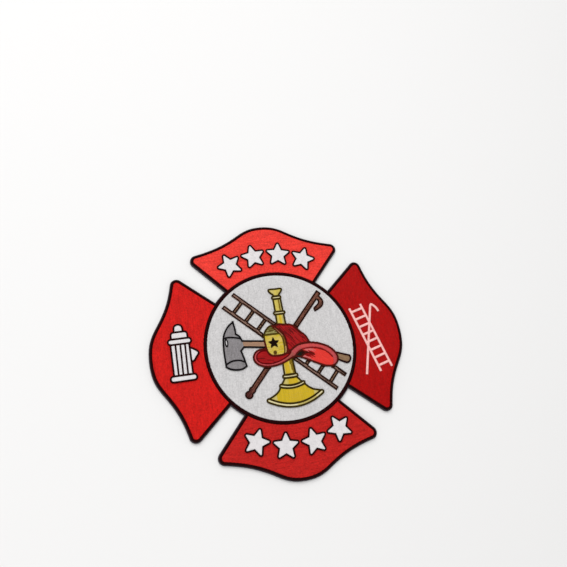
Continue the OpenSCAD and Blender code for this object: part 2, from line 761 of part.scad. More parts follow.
UPPER_LOOPS = [
    counterclockwise(smooth(MOUTHPIECE)), roll(ROLLS[0]), tube(TUBES[0]), roll(ROLLS[1]), tube(TUBES[1])];
LOWER_LOOPS = [
    tube(TUBES[2]), roll(ROLLS[2]), throat(), roll(ROLLS[BELL_BAND]), bell(), roll(ROLLS[BELL_RIM])];

module trumpet_lines(loops, w) {
    for (loop = loops) line_round(loop, w);
}

module trumpet_shape(d) {
    for (loop = concat(UPPER_LOOPS, LOWER_LOOPS)) polygon(grown(loop, d));
}

module trumpet_pad(tint, loops, i) {
    color(tint) pad() behind_helmet() difference() {
        polygon(loops[i]);
        trumpet_lines(loops, line_w + 2 * gap);
    }
}

module trumpet_outline(loops) {
    color(BLACK) pad(line_t) behind_helmet() trumpet_lines(loops, line_w);
}

// Crossing ladder

// Ladder laid along X, from one distance along it to another, with the rungs of the given numbers
module ladder(from, to, rungs) {
    color(BROWN) pad() difference() {
        translate(LADDER_MIDDLE) rotate(LADDER_SLOPE) {
            for (side = [-1, 1]) translate([from, side * ladder_w / 2 - ladder_rail_w / 2])
                square([to - from, ladder_rail_w]);
            for (i = rungs) {
                middle = i * ladder_step + ladder_rung_shift;
                translate([middle - ladder_rung_w / 2, -ladder_w / 2]) square([ladder_rung_w, ladder_w]);
            }
        }
        helmet_shape(line_w / 2 + gap);
        trumpet_shape(line_w / 2 + gap);
    }
}

// Pike pole

module pike_stretch(from, to) {
    along = PIKE_TIP - PIKE_BALL;
    line_along([PIKE_BALL + from * along, PIKE_BALL + to * along], pike_w);
}

module pike_pole_upper() {
    color(BROWN) pad() behind_helmet() {
        pike_stretch(PIKE_UPPER_START, 1);
        polygon(counterclockwise(smooth(PIKE_HOOK)));
    }
}

module pike_pole_lower() {
    along = unit(PIKE_TIP - PIKE_BALL);
    color(BROWN) pad() behind_helmet() {
        pike_stretch(0, PIKE_LOWER_END);
        translate(PIKE_BALL + along * PIKE_COLLAR) rotate(atan2(along[1], along[0]))
            polygon(oval(PIKE_COLLAR_SIZE));
        translate(PIKE_BALL) circle(r = pike_ball_r, $fn = 48);
    }
}

ground();
arm_field(TOP, end_loop(ring_r + gap));  // arm_field_top
arm_field(RIGHT, side_loop(ring_r + gap));  // arm_field_right
arm_field(BOTTOM, end_loop(ring_r + gap));  // arm_field_bottom
arm_field(LEFT, side_loop(ring_r + gap));  // arm_field_left
centre_field();
centre_ring();
arm_border(TOP, end_edge(ring_r + border_end_gap));  // arm_border_top
arm_border(RIGHT, side_edge(ring_r + border_end_gap));  // arm_border_right
arm_border(BOTTOM, end_edge(ring_r + border_end_gap));  // arm_border_bottom
arm_border(LEFT, side_edge(ring_r + border_end_gap));  // arm_border_left
white_star(top_star(1));  // star_top_1
white_star(top_star(2));  // star_top_2
white_star(top_star(3));  // star_top_3
white_star(top_star(4));  // star_top_4
star_edges([for (i = [1 : 4]) top_star(i)]);  // star_edges_top
white_star(bottom_star(1));  // star_bottom_1
white_star(bottom_star(2));  // star_bottom_2
white_star(bottom_star(3));  // star_bottom_3
white_star(bottom_star(4));  // star_bottom_4
star_edges([for (i = [1 : 4]) bottom_star(i)]);  // star_edges_bottom
hydrant_pad(soft_box(HYDRANT[HYDRANT_CAP]));  // hydrant_cap
hydrant_pad(soft_box(HYDRANT[HYDRANT_BONNET]));  // hydrant_bonnet
hydrant_pad(soft_box(HYDRANT[HYDRANT_FLANGE]));  // hydrant_flange
hydrant_pad(soft_box(HYDRANT[HYDRANT_BARREL]));  // hydrant_barrel
hydrant_pad(outlet());  // hydrant_outlet
hydrant_pad(soft_box(HYDRANT[HYDRANT_BASE]));  // hydrant_base
hydrant_outline();
side_hook_and_ladder();
helmet_crown();
helmet_brim();
helmet_brim_roll();
helmet_brim_underside();
helmet_shield();
helmet_shield_side();
helmet_shield_crest();
helmet_shield_star();
helmet_outline();
axe_head();
axe_handle();
axe_outline();
axe_handle_end();
axe_handle_end_outline();
trumpet_pad(YELLOW, UPPER_LOOPS, 0);  // trumpet_mouthpiece
trumpet_pad(YELLOW, UPPER_LOOPS, 2);  // trumpet_tube_upper
trumpet_pad(YELLOW, UPPER_LOOPS, 4);  // trumpet_tube_middle
trumpet_pad(YELLOW, LOWER_LOOPS, 0);  // trumpet_tube_lower
trumpet_pad(YELLOW, LOWER_LOOPS, 2);  // trumpet_throat
trumpet_pad(YELLOW, LOWER_LOOPS, 4);  // trumpet_bell
trumpet_pad(PALE, UPPER_LOOPS, 1);  // trumpet_band_1
trumpet_pad(PALE, UPPER_LOOPS, 3);  // trumpet_band_2
trumpet_pad(PALE, LOWER_LOOPS, 1);  // trumpet_band_3
trumpet_pad(PALE, LOWER_LOOPS, 3);  // trumpet_band_4
trumpet_pad(PALE, LOWER_LOOPS, 5);  // trumpet_bell_rim
trumpet_outline(UPPER_LOOPS);  // trumpet_outline_upper
trumpet_outline(LOWER_LOOPS);  // trumpet_outline_lower
ladder(-LADDER_HALF, LADDER_UPPER_END, LADDER_UPPER_RUNGS);  // ladder_upper
ladder(LADDER_LOWER_START, LADDER_HALF, LADDER_LOWER_RUNGS);  // ladder_lower
pike_pole_upper();
pike_pole_lower();
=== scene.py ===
# %% [markdown]
# # An embroidered fire service patch
# The real object is one piece of cut cloth, about as wide as a hand, that an embroidery machine has covered
# with thread. Nothing on it is printed: every colour is a thread, and every edge is where stitches end. So
# this script sews it. It reads the outline of each part from the construction model, lays rows of single
# stitches inside it, and joins each part's stitches into one mesh.
#
# The construction model comes in as a fixed frame, in metres. Sewing is easier to think about in millimetres,
# so the helpers below work in those, and the finished meshes are scaled at the end.

# %% Load the frame
import math
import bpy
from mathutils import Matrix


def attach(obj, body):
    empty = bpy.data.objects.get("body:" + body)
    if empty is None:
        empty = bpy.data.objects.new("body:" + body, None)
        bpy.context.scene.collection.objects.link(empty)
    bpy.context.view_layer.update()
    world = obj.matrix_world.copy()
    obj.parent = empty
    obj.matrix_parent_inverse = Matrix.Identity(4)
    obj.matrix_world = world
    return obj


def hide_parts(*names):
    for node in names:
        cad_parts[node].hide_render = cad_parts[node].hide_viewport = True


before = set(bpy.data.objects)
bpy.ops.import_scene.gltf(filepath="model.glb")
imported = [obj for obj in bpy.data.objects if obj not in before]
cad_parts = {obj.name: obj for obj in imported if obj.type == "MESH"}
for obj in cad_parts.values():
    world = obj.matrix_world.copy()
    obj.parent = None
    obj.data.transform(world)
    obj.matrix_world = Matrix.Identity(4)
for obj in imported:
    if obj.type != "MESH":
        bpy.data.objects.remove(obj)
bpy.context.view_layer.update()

import zlib
from collections import Counter, namedtuple

import bmesh
import bpy
import numpy as np
from mathutils import Matrix, Quaternion, Vector

MM = 0.001
BODY = "root"

# %% [markdown]
# ## The camera
# The photograph looks down on the patch from its lower left, and slightly turned. The place, the aim and the
# roll below were worked out from the round centre and the two pairs of equal arms, so the render can be laid
# over the photograph. Depth of field stays off, because the whole patch is in focus.

# %% Camera
LENS = 37.08
CAMERA_PLACE = Vector((-62.6, -54.94, 247.93))
CAMERA_AIM = Vector((6.0, 28.46, 1.73))
CAMERA_ROLL = math.radians(30.98)
NEAREST, FARTHEST = 0.01, 10


def new_object(name, data):
    """An object at the origin, linked into the scene."""
    thing = bpy.data.objects.new(name, data)
    bpy.context.scene.collection.objects.link(thing)
    return thing


def aim(thing, place, direction, roll=0.0):
    """Puts a camera or a lamp at a place, facing one way and rolled about its line of sight."""
    thing.location = place
    thing.rotation_mode = "QUATERNION"
    thing.rotation_quaternion = direction.to_track_quat("-Z", "Y") @ Quaternion((0, 0, 1), roll)


camera = new_object("camera", bpy.data.cameras.new("camera"))
camera.data.lens = LENS
camera.data.clip_start = NEAREST
camera.data.clip_end = FARTHEST
aim(camera, CAMERA_PLACE * MM, CAMERA_AIM - CAMERA_PLACE, CAMERA_ROLL)
bpy.context.scene.camera = camera
print("camera:", round((CAMERA_AIM - CAMERA_PLACE).length), "mm from the patch")

# %% [markdown]
# ## Reading an outline from the frame
# A digitizer, the person who prepares an embroidery file, starts from closed outlines. Each node is a low
# slab whose top face has the outline that is needed. Its mesh comes as loose triangles, so a copy is welded
# first. Then the edges with the flat top on one side only are chained into closed paths. Keeping the top on
# the left of each path tells later helpers which way is inwards.

# %% Outlines of a node
WELD = 0.002
LEVEL = 0.02
FACES_UP = 0.9


def solid_of(node):
    """A node's own solid as a bmesh in millimetres, with its loose triangles welded."""
    bm = bmesh.new()
    bm.from_mesh(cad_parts[node].data)
    bmesh.ops.scale(bm, vec=Vector((1, 1, 1)) / MM, verts=bm.verts)
    bmesh.ops.remove_doubles(bm, verts=bm.verts, dist=WELD)
    bm.verts.index_update()
    bm.verts.ensure_lookup_table()
    return bm


def height_of(bm):
    """Lowest and highest point of a solid."""
    heights = [v.co.z for v in bm.verts]
    return min(heights), max(heights)


def path_length(path):
    return float(np.linalg.norm(np.roll(path, -1, axis=0) - path, axis=1).sum())


def outlines(node):
    """Closed paths round the flat top of a node, longest first, with the top on their left."""
    bm = solid_of(node)
    top = height_of(bm)[1]
    flat = [f for f in bm.faces if f.normal.z > FACES_UP and min(v.co.z for v in f.verts) > top - LEVEL]
    following, inside = {}, set(flat)
    for face in flat:
        for corner in face.loops:
            if not any(f in inside for f in corner.edge.link_faces if f is not face):
                following.setdefault(corner.vert.index, []).append(corner.link_loop_next.vert.index)
    paths = []
    while following:
        here, path = min(following), []
        while here in following:
            path.append(bm.verts[here].co.xy[:])
            onward = following[here]
            after = onward.pop()
            if not onward:
                del following[here]
            here = after
        paths.append(np.array(path))
    bm.free()
    return sorted(paths, key=path_length, reverse=True)


print("helmet lines:", len(outlines("helmet_outline")), "closed outlines")

# %% [markdown]
# ## The line along a border
# A border has no flat top: it is a long dome. Its stitches run across the dome, so what is needed is the line
# along its crest. Those are the highest points of the node, and each is joined by an edge to the next.

# %% Crest line of a domed strip


def crest_line(node):
    """Points along the highest line of a domed strip in order, and whether the line is closed."""
    bm = solid_of(node)
    top = height_of(bm)[1]
    high = {v for v in bm.verts if v.co.z > top - LEVEL}
    beside = {v: [e.other_vert(v) for e in v.link_edges if e.other_vert(v) in high] for v in high}
    ends = [v for v in high if len(beside[v]) == 1]
    here = min(ends or high, key=lambda v: v.index)
    path, seen = [], set()
    while here is not None:
        path.append(here.co.xy[:])
        seen.add(here)
        here = next((v for v in beside[here] if v not in seen), None)
    bm.free()
    return np.array(path), not ends


print("ring crest:", round(path_length(crest_line("centre_ring")[0])), "mm round")

# %% [markdown]
# ## One stitch
# A stitch is a short length of thread that lies on the cloth and dives into it at both ends. The thread is
# round, but pulled down onto the cloth it reads as half round. One such stitch is modelled: a circle is cut
# to its upper half, extruded along X in a few steps, and its two ends are narrowed and tucked down. It has
# about two dozen faces, because it will be laid some fifteen thousand times. The long stitches of the large
# fields lie straight, so they need one step less. Their turned-down ends are shaded flat, or else the ends
# would tint the whole length of the thread.

# %% The base stitch
Stitch = namedtuple("Stitch", "points faces smooth")
CIRCLE_SIDES = 8
END_SIZE = 0.62
END_TUCK = 0.6
END_LEAN = 0.04
TOUCH = 1e-4


def faces_of(bm):
    """The corners of every face as numbers of points, in an order that stays the same each run."""
    corners = [[v.index for v in f.verts] for f in bm.faces]
    return sorted(c[c.index(min(c)):] + c[:c.index(min(c))] for c in corners)


def base_stitch(stations, soft_ends=False):
    """A closed half-round thread, one unit long along X, two wide and one high, with its ends tucked down."""
    bm = bmesh.new()
    upright = Matrix.Rotation(math.radians(90), 4, "Y")
    bmesh.ops.create_circle(bm, cap_ends=True, segments=CIRCLE_SIDES, radius=1, matrix=upright)
    everything = bm.verts[:] + bm.edges[:] + bm.faces[:]
    bmesh.ops.bisect_plane(bm, geom=everything, dist=TOUCH, plane_no=(0, 0, 1), clear_inner=True)
    front = first = bm.faces[:]
    for here, there in zip(stations, stations[1:]):
        grown = bmesh.ops.extrude_face_region(bm, geom=front)["geom"]
        if front is not first:
            bmesh.ops.delete(bm, geom=front, context="FACES_ONLY")
        front = [g for g in grown if isinstance(g, bmesh.types.BMFace)]
        bmesh.ops.translate(bm, vec=(there - here, 0, 0), verts=front[0].verts)
    for end, inward in ((0, 1), (1, -1)):
        tip = [v for v in bm.verts if abs(v.co.x - end) < TOUCH]
        bmesh.ops.scale(bm, vec=(1, END_SIZE, END_SIZE), verts=tip)
        for v in tip:
            v.co.x += inward * END_LEAN * v.co.z
            v.co.z -= END_TUCK
    bmesh.ops.recalc_face_normals(bm, faces=bm.faces)
    bm.verts.index_update()
    points, faces = np.array([v.co[:] for v in bm.verts]), faces_of(bm)
    bm.free()
    middles_x = np.array([points[face, 0].mean() for face in faces])
    return Stitch(points, faces, soft_ends | (middles_x > stations[1]) & (middles_x < stations[-2]))


FIELD_STITCH = base_stitch((0, 0.025, 0.975, 1))
FLAT_STITCH = base_stitch((0, 0.03, 0.5, 0.97, 1))
SATIN_STITCH = base_stitch((0, 0.1, 0.36, 0.64, 0.9, 1), soft_ends=True)
print("faces of a stitch:", [len(shape.faces) for shape in (FIELD_STITCH, FLAT_STITCH, SATIN_STITCH)])

# %% [markdown]
# ## Filling an area
# Large areas are filled with a tatami stitch: straight rows close together, each row cut into stitches of a
# few millimetres, and the needle holes set back from row to row by a changing step, so that they never line
# up. The rows are found as a scan line finds them: the outline is turned until the rows are level, each row
# is crossed with every edge, and the crossings are taken in pairs.

# %% Rows and stitches of a fill
ROW_PITCH = 0.36
SET_BACK = (0.25, 0.75)
SHORTEST = 0.8
JITTER = 0.25
MOST_ROWS = 1000


def turned(points, degrees):
    a = math.radians(degrees)
    return points @ np.array([[math.cos(a), math.sin(a)], [-math.sin(a), math.cos(a)]])


def edges_of(paths):
    """Starts and ends of every edge of some closed paths."""
    return np.vstack(paths), np.vstack([np.roll(p, -1, axis=0) for p in paths])


def stretches(a, b, v):
    """Left and right end of each stretch at one height that lies inside the edges."""
    over = (a[:, 1] > v) != (b[:, 1] > v)
    p, q = a[over], b[over]
    across = np.sort(p[:, 0] + (v - p[:, 1]) / (q[:, 1] - p[:, 1]) * (q[:, 0] - p[:, 0]))
    return zip(across[::2], across[1::2])


def rows_inside(paths, pitch):
    """Level rows across closed paths: row number, height, and left and right end of each stretch inside."""
    a, b = edges_of(paths)
    low, high = a[:, 1].min(), a[:, 1].max()
    count = max(1, round((high - low) / pitch))
    for k in range(count):
        v = low + (k + 0.5) * (high - low) / count
        for left, right in stretches(a, b, v):
            yield k, v, left, right


def fill(paths, angle, length, rng, pitch=ROW_PITCH, inset=0.0):
    """Stitches that fill closed paths in rows at an angle, as arrays of starts and ends."""
    level = [turned(p, -angle) for p in paths]
    offsets = np.cumsum(rng.uniform(*SET_BACK, MOST_ROWS)) % 1
    starts, ends = [], []
    for k, v, left, right in rows_inside(level, pitch):
        left, right = left + inset, right - inset
        if right - left < pitch / 2:
            continue
        first = (math.floor(left / length) + offsets[k]) * length
        holes = np.arange(first, right, length)
        holes = holes + rng.uniform(-JITTER, JITTER, len(holes))
        holes = holes[(holes > left + SHORTEST) & (holes < right - SHORTEST)]
        stops = np.concatenate([[left], holes, [right]])
        starts += [(u, v) for u in stops[:-1]]
        ends += [(u, v) for u in stops[1:]]
    return turned(np.array(starts), angle), turned(np.array(ends), angle)


print("rows across the centre:", len(list(rows_inside(outlines("centre_field"), ROW_PITCH))))

# %% [markdown]
# ## Covering a band
# Lines, edges and borders are satin stitch: single stitches side by side, straight across the band. To lay
# them, the script walks each outline at an even step and shoots a line inwards, at a right angle, until it
# meets the other side. Where two outlines bound one band, the second walk only adds the stitches that are
# missing. Where bands meet, the line would run on down the next one, so it is cut to the usual width.

# %% Stitches across a band
LINE_W = 0.7
SATIN_PITCH = 0.38
SMOOTH_REACH = 0.35
CROWDED = 0.62
NUDGE = 0.03
OVERHANG = 0.04
TOO_WIDE = 1.5


def walk(path, step, closed=True):
    """Points at even steps along a path, and the smoothed direction of travel at each."""
    line = np.vstack([path, path[:1]]) if closed else path
    far = np.concatenate([[0], np.cumsum(np.linalg.norm(np.diff(line, axis=0), axis=1))])
    count = max(3, round(far[-1] / step))
    at = (np.arange(count) + 0.5) / count * far[-1]

    def point(distance):
        distance = np.mod(distance, far[-1]) if closed else np.clip(distance, 0, far[-1])
        return np.column_stack([np.interp(distance, far, line[:, i]) for i in (0, 1)])

    ahead = point(at + SMOOTH_REACH) - point(at - SMOOTH_REACH)
    return point(at), ahead / np.linalg.norm(ahead, axis=1)[:, None]


def left_of(direction):
    return np.column_stack([-direction[:, 1], direction[:, 0]])


def cross(a, b):
    return a[..., 0] * b[..., 1] - a[..., 1] * b[..., 0]


def distance_to_edges(points, ways, a, b):
    """How far each point is from the first edge that it meets along its way."""
    edge, way, gap = (b - a)[None], ways[:, None], a[None] - points[:, None]
    with np.errstate(divide="ignore", invalid="ignore"):
        along_way = cross(gap, edge) / cross(way, edge)
        along_edge = cross(gap, way) / cross(way, edge)
    meets = (along_edge >= 0) & (along_edge <= 1) & (along_way > 0)
    return np.where(meets, along_way, np.inf).min(axis=1)


def spread_apart(points, taken, least):
    """Numbers of the points that are at least so far from those taken and from each other."""
    kept, chosen = list(taken), []
    for i, point in enumerate(points):
        if not kept or np.min(np.sum((np.array(kept) - point) ** 2, axis=1)) > least * least:
            kept.append(point)
            chosen.append(i)
    return chosen, kept


def across_band(paths, usual, widest=None):
    """Satin stitches across the bands between closed paths. One past the widest is cut to the usual width."""
    a, b = edges_of(paths)
    starts, ends, kept = [], [], []
    for path in paths:
        at, ahead = walk(path, SATIN_PITCH)
        inward = left_of(ahead)
        width = distance_to_edges(at + NUDGE * inward, inward, a, b) + NUDGE
        width = np.where(width > (widest or TOO_WIDE * usual), usual, width)[:, None]
        chosen, kept = spread_apart(at + inward * width / 2, kept, CROWDED * SATIN_PITCH)
        starts.append((at - OVERHANG * inward)[chosen])
        ends.append((at + (width + OVERHANG) * inward)[chosen])
    return np.vstack(starts), np.vstack(ends)


def along_edge(paths, depth, pitch):
    """Satin stitches of one length that line the inside of closed paths."""
    walks = [walk(path, pitch) for path in paths]
    at = np.vstack([w[0] for w in walks])
    inward = left_of(np.vstack([w[1] for w in walks]))
    return at - OVERHANG * inward, at + depth * inward


def across_line(path, width, closed=False):
    """Satin stitches across a band of one width that follows a line."""
    at, ahead = walk(path, SATIN_PITCH, closed)
    side = left_of(ahead) * width / 2
    return at - side, at + side


print("stitches in the helmet's lines:", len(across_band(outlines("helmet_outline"), LINE_W)[0]))

# %% [markdown]
# ## Joining stitches into a mesh
# Each stitch is the base stitch, stretched from its start to its end and laid at its height. All the stitches
# of a piece are worked out together as arrays and become one mesh, with the piece's own low solid left under
# them as the padding that real embroidery has. Three values are kept with the mesh: how light each thread is,
# where a point lies along and across its thread, and a map seen straight from above.

# %% Where each stitch lies
THREAD_W = 0.46
THREAD_H = 0.17
TONE_SPREAD = 1.0
WIDTH_SPREAD = 0.05
HEIGHT_SPREAD = 0.012
ARCH_POWER = 0.75
PLY_START = 50
Run = namedtuple("Run", "starts ends top height arch thread shape")


def run_of(stitches, top, height=THREAD_H, arch=0.0, thread=0, shape=FLAT_STITCH):
    """Stitches with their height and thread. The thread is a number or one number per stitch."""
    starts, ends = stitches
    return Run(starts, ends, top, height, arch, np.broadcast_to(thread, len(starts)), shape)


def points_of(run, rng):
    """Points of every stitch of a run, its tones, and the place of each point on its thread."""
    base, count = run.shape.points, len(run.starts)
    go = run.ends - run.starts
    length = np.linalg.norm(go, axis=1)
    side = left_of(go) / length[:, None]
    width = THREAD_W * (1 + rng.normal(0, WIDTH_SPREAD, count))
    across = base[None, :, 1] * width[:, None] / 2
    flat = run.starts[:, None] + go[:, None] * base[None, :, :1] + side[:, None] * across[..., None]
    rise = run.arch * np.sin(np.pi * np.clip(base[:, 0], 0, 1)) ** ARCH_POWER
    up = run.top - run.arch - run.height + rise + base[:, 2] * run.height
    up = up[None] + rng.normal(0, HEIGHT_SPREAD, count)[:, None]
    points = np.concatenate([flat, up[..., None]], axis=2).reshape(-1, 3)
    tone = np.repeat(rng.normal(0, TONE_SPREAD, count), len(base))
    along = base[None, :, 0] * length[:, None] + rng.uniform(0, PLY_START, count)[:, None]
    on_thread = np.stack([along, np.broadcast_to(base[None, :, 1], along.shape)], axis=2).reshape(-1, 2)
    return points, tone, on_thread


# %% The padding under the stitches
CORE_DROP = 0.14
# The padding shows only in the gaps between the stitches, so it takes a low tone: painted shade between them.
CORE_SHADE_TONE = -1.6


def lowered_core(node, drop):
    """A node's own solid in millimetres, pressed down so that the stitches stand above it."""
    bm = solid_of(node)
    low, high = height_of(bm)
    keep = (high - low - drop) / (high - low)
    bmesh.ops.scale(bm, vec=(1, 1, keep), verts=bm.verts, space=Matrix.Translation((0, 0, -low)))
    bm.verts.index_update()
    points, faces = np.array([v.co[:] for v in bm.verts]), faces_of(bm)
    bm.free()
    return points, faces


# %% Shading and kept values
def shade(mesh, smooth):
    """Shades the chosen faces smooth and the rest flat, with a sharp edge where the two meet."""
    mesh.polygons.foreach_set("use_smooth", smooth)
    edge_of = np.empty(len(mesh.loops), np.int32)
    mesh.loops.foreach_get("edge_index", edge_of)
    corners = np.empty(len(mesh.polygons), np.int32)
    mesh.polygons.foreach_get("loop_total", corners)
    sharp = np.zeros(len(mesh.edges), bool)
    sharp[edge_of[np.repeat(~smooth, corners)]] = True
    mesh.edges.foreach_set("use_edge_sharp", sharp)


def keep_values(mesh, points, tones, places):
    """Writes the tone, the map along the thread and the map from above."""
    mesh.attributes.new("tone", "FLOAT", "POINT").data.foreach_set("value", tones.astype(np.float32))
    corners = np.empty(len(mesh.loops), np.int32)
    mesh.loops.foreach_get("vertex_index", corners)
    low = points[:, :2].min(axis=0)
    above = (points[:, :2] - low) / (points[:, :2].max(axis=0) - low)
    for name, at in (("along_thread", places), ("OFBake", above)):
        layer = mesh.uv_layers.new(name=name)
        layer.data.foreach_set("uv", at[corners].astype(np.float32).ravel())
    mesh.update()


# %% Sewing a piece
THREADS = {}


def sew(name, node, runs, threads, drop):
    """One mesh object from a node's core and runs of stitches, in the named threads."""
    rng = np.random.default_rng(zlib.crc32(name.encode()))
    core, core_faces = lowered_core(node, drop)
    points, faces = [core], list(core_faces)
    tones, places = [np.full(len(core), CORE_SHADE_TONE)], [np.zeros((len(core), 2))]
    worn, smooth = [np.zeros(len(core_faces), int)], [np.zeros(len(core_faces), bool)]
    made = len(core)
    for run in runs:
        at, tone, on_thread = points_of(run, rng)
        points.append(at)
        tones.append(tone)
        places.append(on_thread)
        worn.append(np.repeat(run.thread, len(run.shape.faces)))
        smooth.append(np.tile(run.shape.smooth, len(run.starts)))
        for k in range(len(run.starts)):
            shift = made + k * len(run.shape.points)
            faces += [[shift + i for i in face] for face in run.shape.faces]
        made += len(at)
    points = np.vstack(points)
    mesh = bpy.data.meshes.new(name)
    mesh.from_pydata((points * MM).tolist(), [], faces)
    mesh.polygons.foreach_set("material_index", np.concatenate(worn))
    shade(mesh, np.concatenate(smooth))
    keep_values(mesh, points, np.concatenate(tones), np.vstack(places))
    for thread in threads:
        mesh.materials.append(THREADS[thread])
    return new_object(name, mesh)


# %% [markdown]
# ## The look of thread
# Three things make embroidery thread look like thread: two fine plies twisted together, each stitch a little
# lighter or darker than the next because it lies at its own angle, and a drift of colour over the area, slow
# or as fine as grain. The plies are a bump, and the grooves between them are painted darker as painted shade.
# Every colour of thread needs them, so they are one node group with its own inputs. It puts out a colour and
# a normal only, and the Principled BSDF stays in each material.

# %% Node helpers


def new_group(name, inputs, outputs):
    """An empty shader node group: numbers and colours in, sockets of the given kinds out."""
    tree = bpy.data.node_groups.new(name, "ShaderNodeTree")
    for label, value in inputs.items():
        kind = "NodeSocketColor" if isinstance(value, tuple) else "NodeSocketFloat"
        tree.interface.new_socket(label, in_out="INPUT", socket_type=kind).default_value = value
    for label, kind in outputs.items():
        tree.interface.new_socket(label, in_out="OUTPUT", socket_type="NodeSocket" + kind)
    return tree, tree.nodes.new("NodeGroupInput").outputs, tree.nodes.new("NodeGroupOutput").inputs


def give(tree, socket, value):
    """Links a value to a socket, or sets it there if it is a plain number or colour."""
    if isinstance(value, bpy.types.NodeSocket):
        tree.links.new(value, socket)
    else:
        socket.default_value = value


def add(tree, kind, inputs=(), **settings):
    """A shader node, with its properties set by name and its inputs by label or number."""
    node = tree.nodes.new("ShaderNode" + kind)
    for label, value in settings.items():
        setattr(node, label, value)
    for label, value in dict(inputs).items():
        give(tree, node.inputs[label], value)
    return node


def calc(tree, operation, a, b=0.0, clamp=False):
    """Output of a math node."""
    return add(tree, "Math", {0: a, 1: b}, operation=operation, use_clamp=clamp).outputs[0]


def clouds(tree, place, size, detail=2.0):
    """Noise whose patches have a size in millimetres."""
    scale = calc(tree, "DIVIDE", 1 / MM, size)
    return add(tree, "TexNoise", {"Vector": place, "Scale": scale, "Detail": detail}).outputs["Fac"]


def waves(tree, turns):
    """Rounded ridges, one for each turn."""
    return calc(tree, "ABSOLUTE", calc(tree, "SINE", calc(tree, "MULTIPLY", turns, math.pi)))


def mix_colour(tree, share, a, b):
    """Output of a colour mix node."""
    return add(tree, "Mix", {0: share, 6: a, 7: b}, data_type="RGBA").outputs[2]


# %% Thread group
WHITE = (1.0, 1.0, 1.0, 1.0)
PLY_PITCH = 0.55
PLY_SLANT = 0.35
PLY_BUMP = 0.03
GROOVE_SHADE = 0.6
MID_LIGHT = 0.7


def thread_group():
    """Embroidery thread: colour and normal of two twisted plies, with painted shade in the grooves between
    them.
    """
    tree, given, put = new_group(
        "embroidery thread",
        {"Thread Color": WHITE, "Deep Color": WHITE, "Stitch Contrast": 0.12, "Drift": 0.3, "Drift Size": 3.0,
         "Ply Depth": 0.3},
        {"Base Color": "Color", "Normal": "Vector"})
    place = add(tree, "TexCoord").outputs["Object"]
    tone = add(tree, "Attribute", attribute_name="tone").outputs["Fac"]
    cloud = calc(tree, "SUBTRACT", clouds(tree, place, given["Drift Size"]), 0.5)
    drift = calc(tree, "MULTIPLY", cloud, given["Drift"])
    contrast = calc(tree, "MULTIPLY", tone, given["Stitch Contrast"])
    light = calc(tree, "ADD", calc(tree, "ADD", drift, contrast), MID_LIGHT, clamp=True)
    colour = mix_colour(tree, light, given["Deep Color"], given["Thread Color"])
    on_thread = add(tree, "UVMap", uv_map="along_thread").outputs[0]
    along, across, _ = add(tree, "SeparateXYZ", {0: on_thread}).outputs
    slant = calc(tree, "MULTIPLY", across, PLY_SLANT)
    plies = waves(tree, calc(tree, "ADD", calc(tree, "DIVIDE", along, PLY_PITCH), slant))
    # The grooves between the plies are mixed towards the deep colour: painted shade in the grooves.
    groove = calc(tree, "MULTIPLY", calc(tree, "SUBTRACT", 1.0, plies), given["Ply Depth"])
    colour = mix_colour(tree, calc(tree, "MULTIPLY", groove, GROOVE_SHADE), colour, given["Deep Color"])
    bump = add(tree, "Bump", {"Strength": given["Ply Depth"], "Distance": PLY_BUMP * MM, "Height": plies})
    give(tree, put["Base Color"], colour)
    give(tree, put["Normal"], bump.outputs["Normal"])
    return tree


THREAD = thread_group()
print("node group:", THREAD.name)

# %% [markdown]
# ## Thread colours
# The machine carries one cone of thread for each colour. Each colour was matched to the photograph. It is
# written as it looks on a screen, from 0 to 255, and turned into the linear values that shaders want. The
# fourth number says how much of the colour is left in its deep colour, which darker stitches and patches mix
# towards and which the grooves between the plies take as painted shade. The fibres are dyed through and let
# light in, so the soft gloss of polyester takes on their own colour.

# %% Thread materials
PLY_DEPTH = 0.6
THREAD_ROUGH = 0.42
OWN_GLOSS_COLOUR = 0.8


def linear(colour):
    """A screen colour from 0 to 255 as a linear colour with full alpha."""
    share = [c / 255 for c in colour]
    return tuple(c / 12.92 if c <= 0.04045 else ((c + 0.055) / 1.055) ** 2.4 for c in share) + (1.0,)


def material_of(name, group, inputs, settings):
    """A material whose shader takes what a group puts out, if there is one, and plain settings."""
    material = bpy.data.materials.new(name)
    material.use_nodes = True
    tree = material.node_tree
    shader = tree.nodes["Principled BSDF"]
    if group:
        for output in add(tree, "Group", inputs, node_tree=group).outputs:
            tree.links.new(output, shader.inputs[output.name])
    for label, value in settings.items():
        shader.inputs[label].default_value = value
    return material


def dye(colours, contrast=0.13, drift=0.35, drift_size=3.0, gloss=0.4):
    """Makes threads from a table of their names, each with a screen colour and the share kept in its deep
    colour, which darker stitches and the painted shade of the ply grooves go towards.
    """
    for name, (*colour, deep) in colours.items():
        full = linear(colour)
        dark = tuple(c * deep ** 2 for c in full[:3]) + (1.0,)
        tint = [1 - OWN_GLOSS_COLOUR + OWN_GLOSS_COLOUR * c / max(full[:3]) for c in full[:3]]
        inputs = {"Thread Color": full, "Deep Color": dark, "Stitch Contrast": contrast, "Drift": drift,
                  "Drift Size": drift_size, "Ply Depth": PLY_DEPTH}
        settings = {"Roughness": THREAD_ROUGH, "Specular IOR Level": gloss, "Specular Tint": (*tint, 1.0)}
        THREADS[name] = material_of(name + "_thread", THREAD, inputs, settings)
        THREADS[name].diffuse_color = full
    print("threads:", ", ".join(colours))


DARK_LINE = {"contrast": 0.2, "gloss": 0.08}
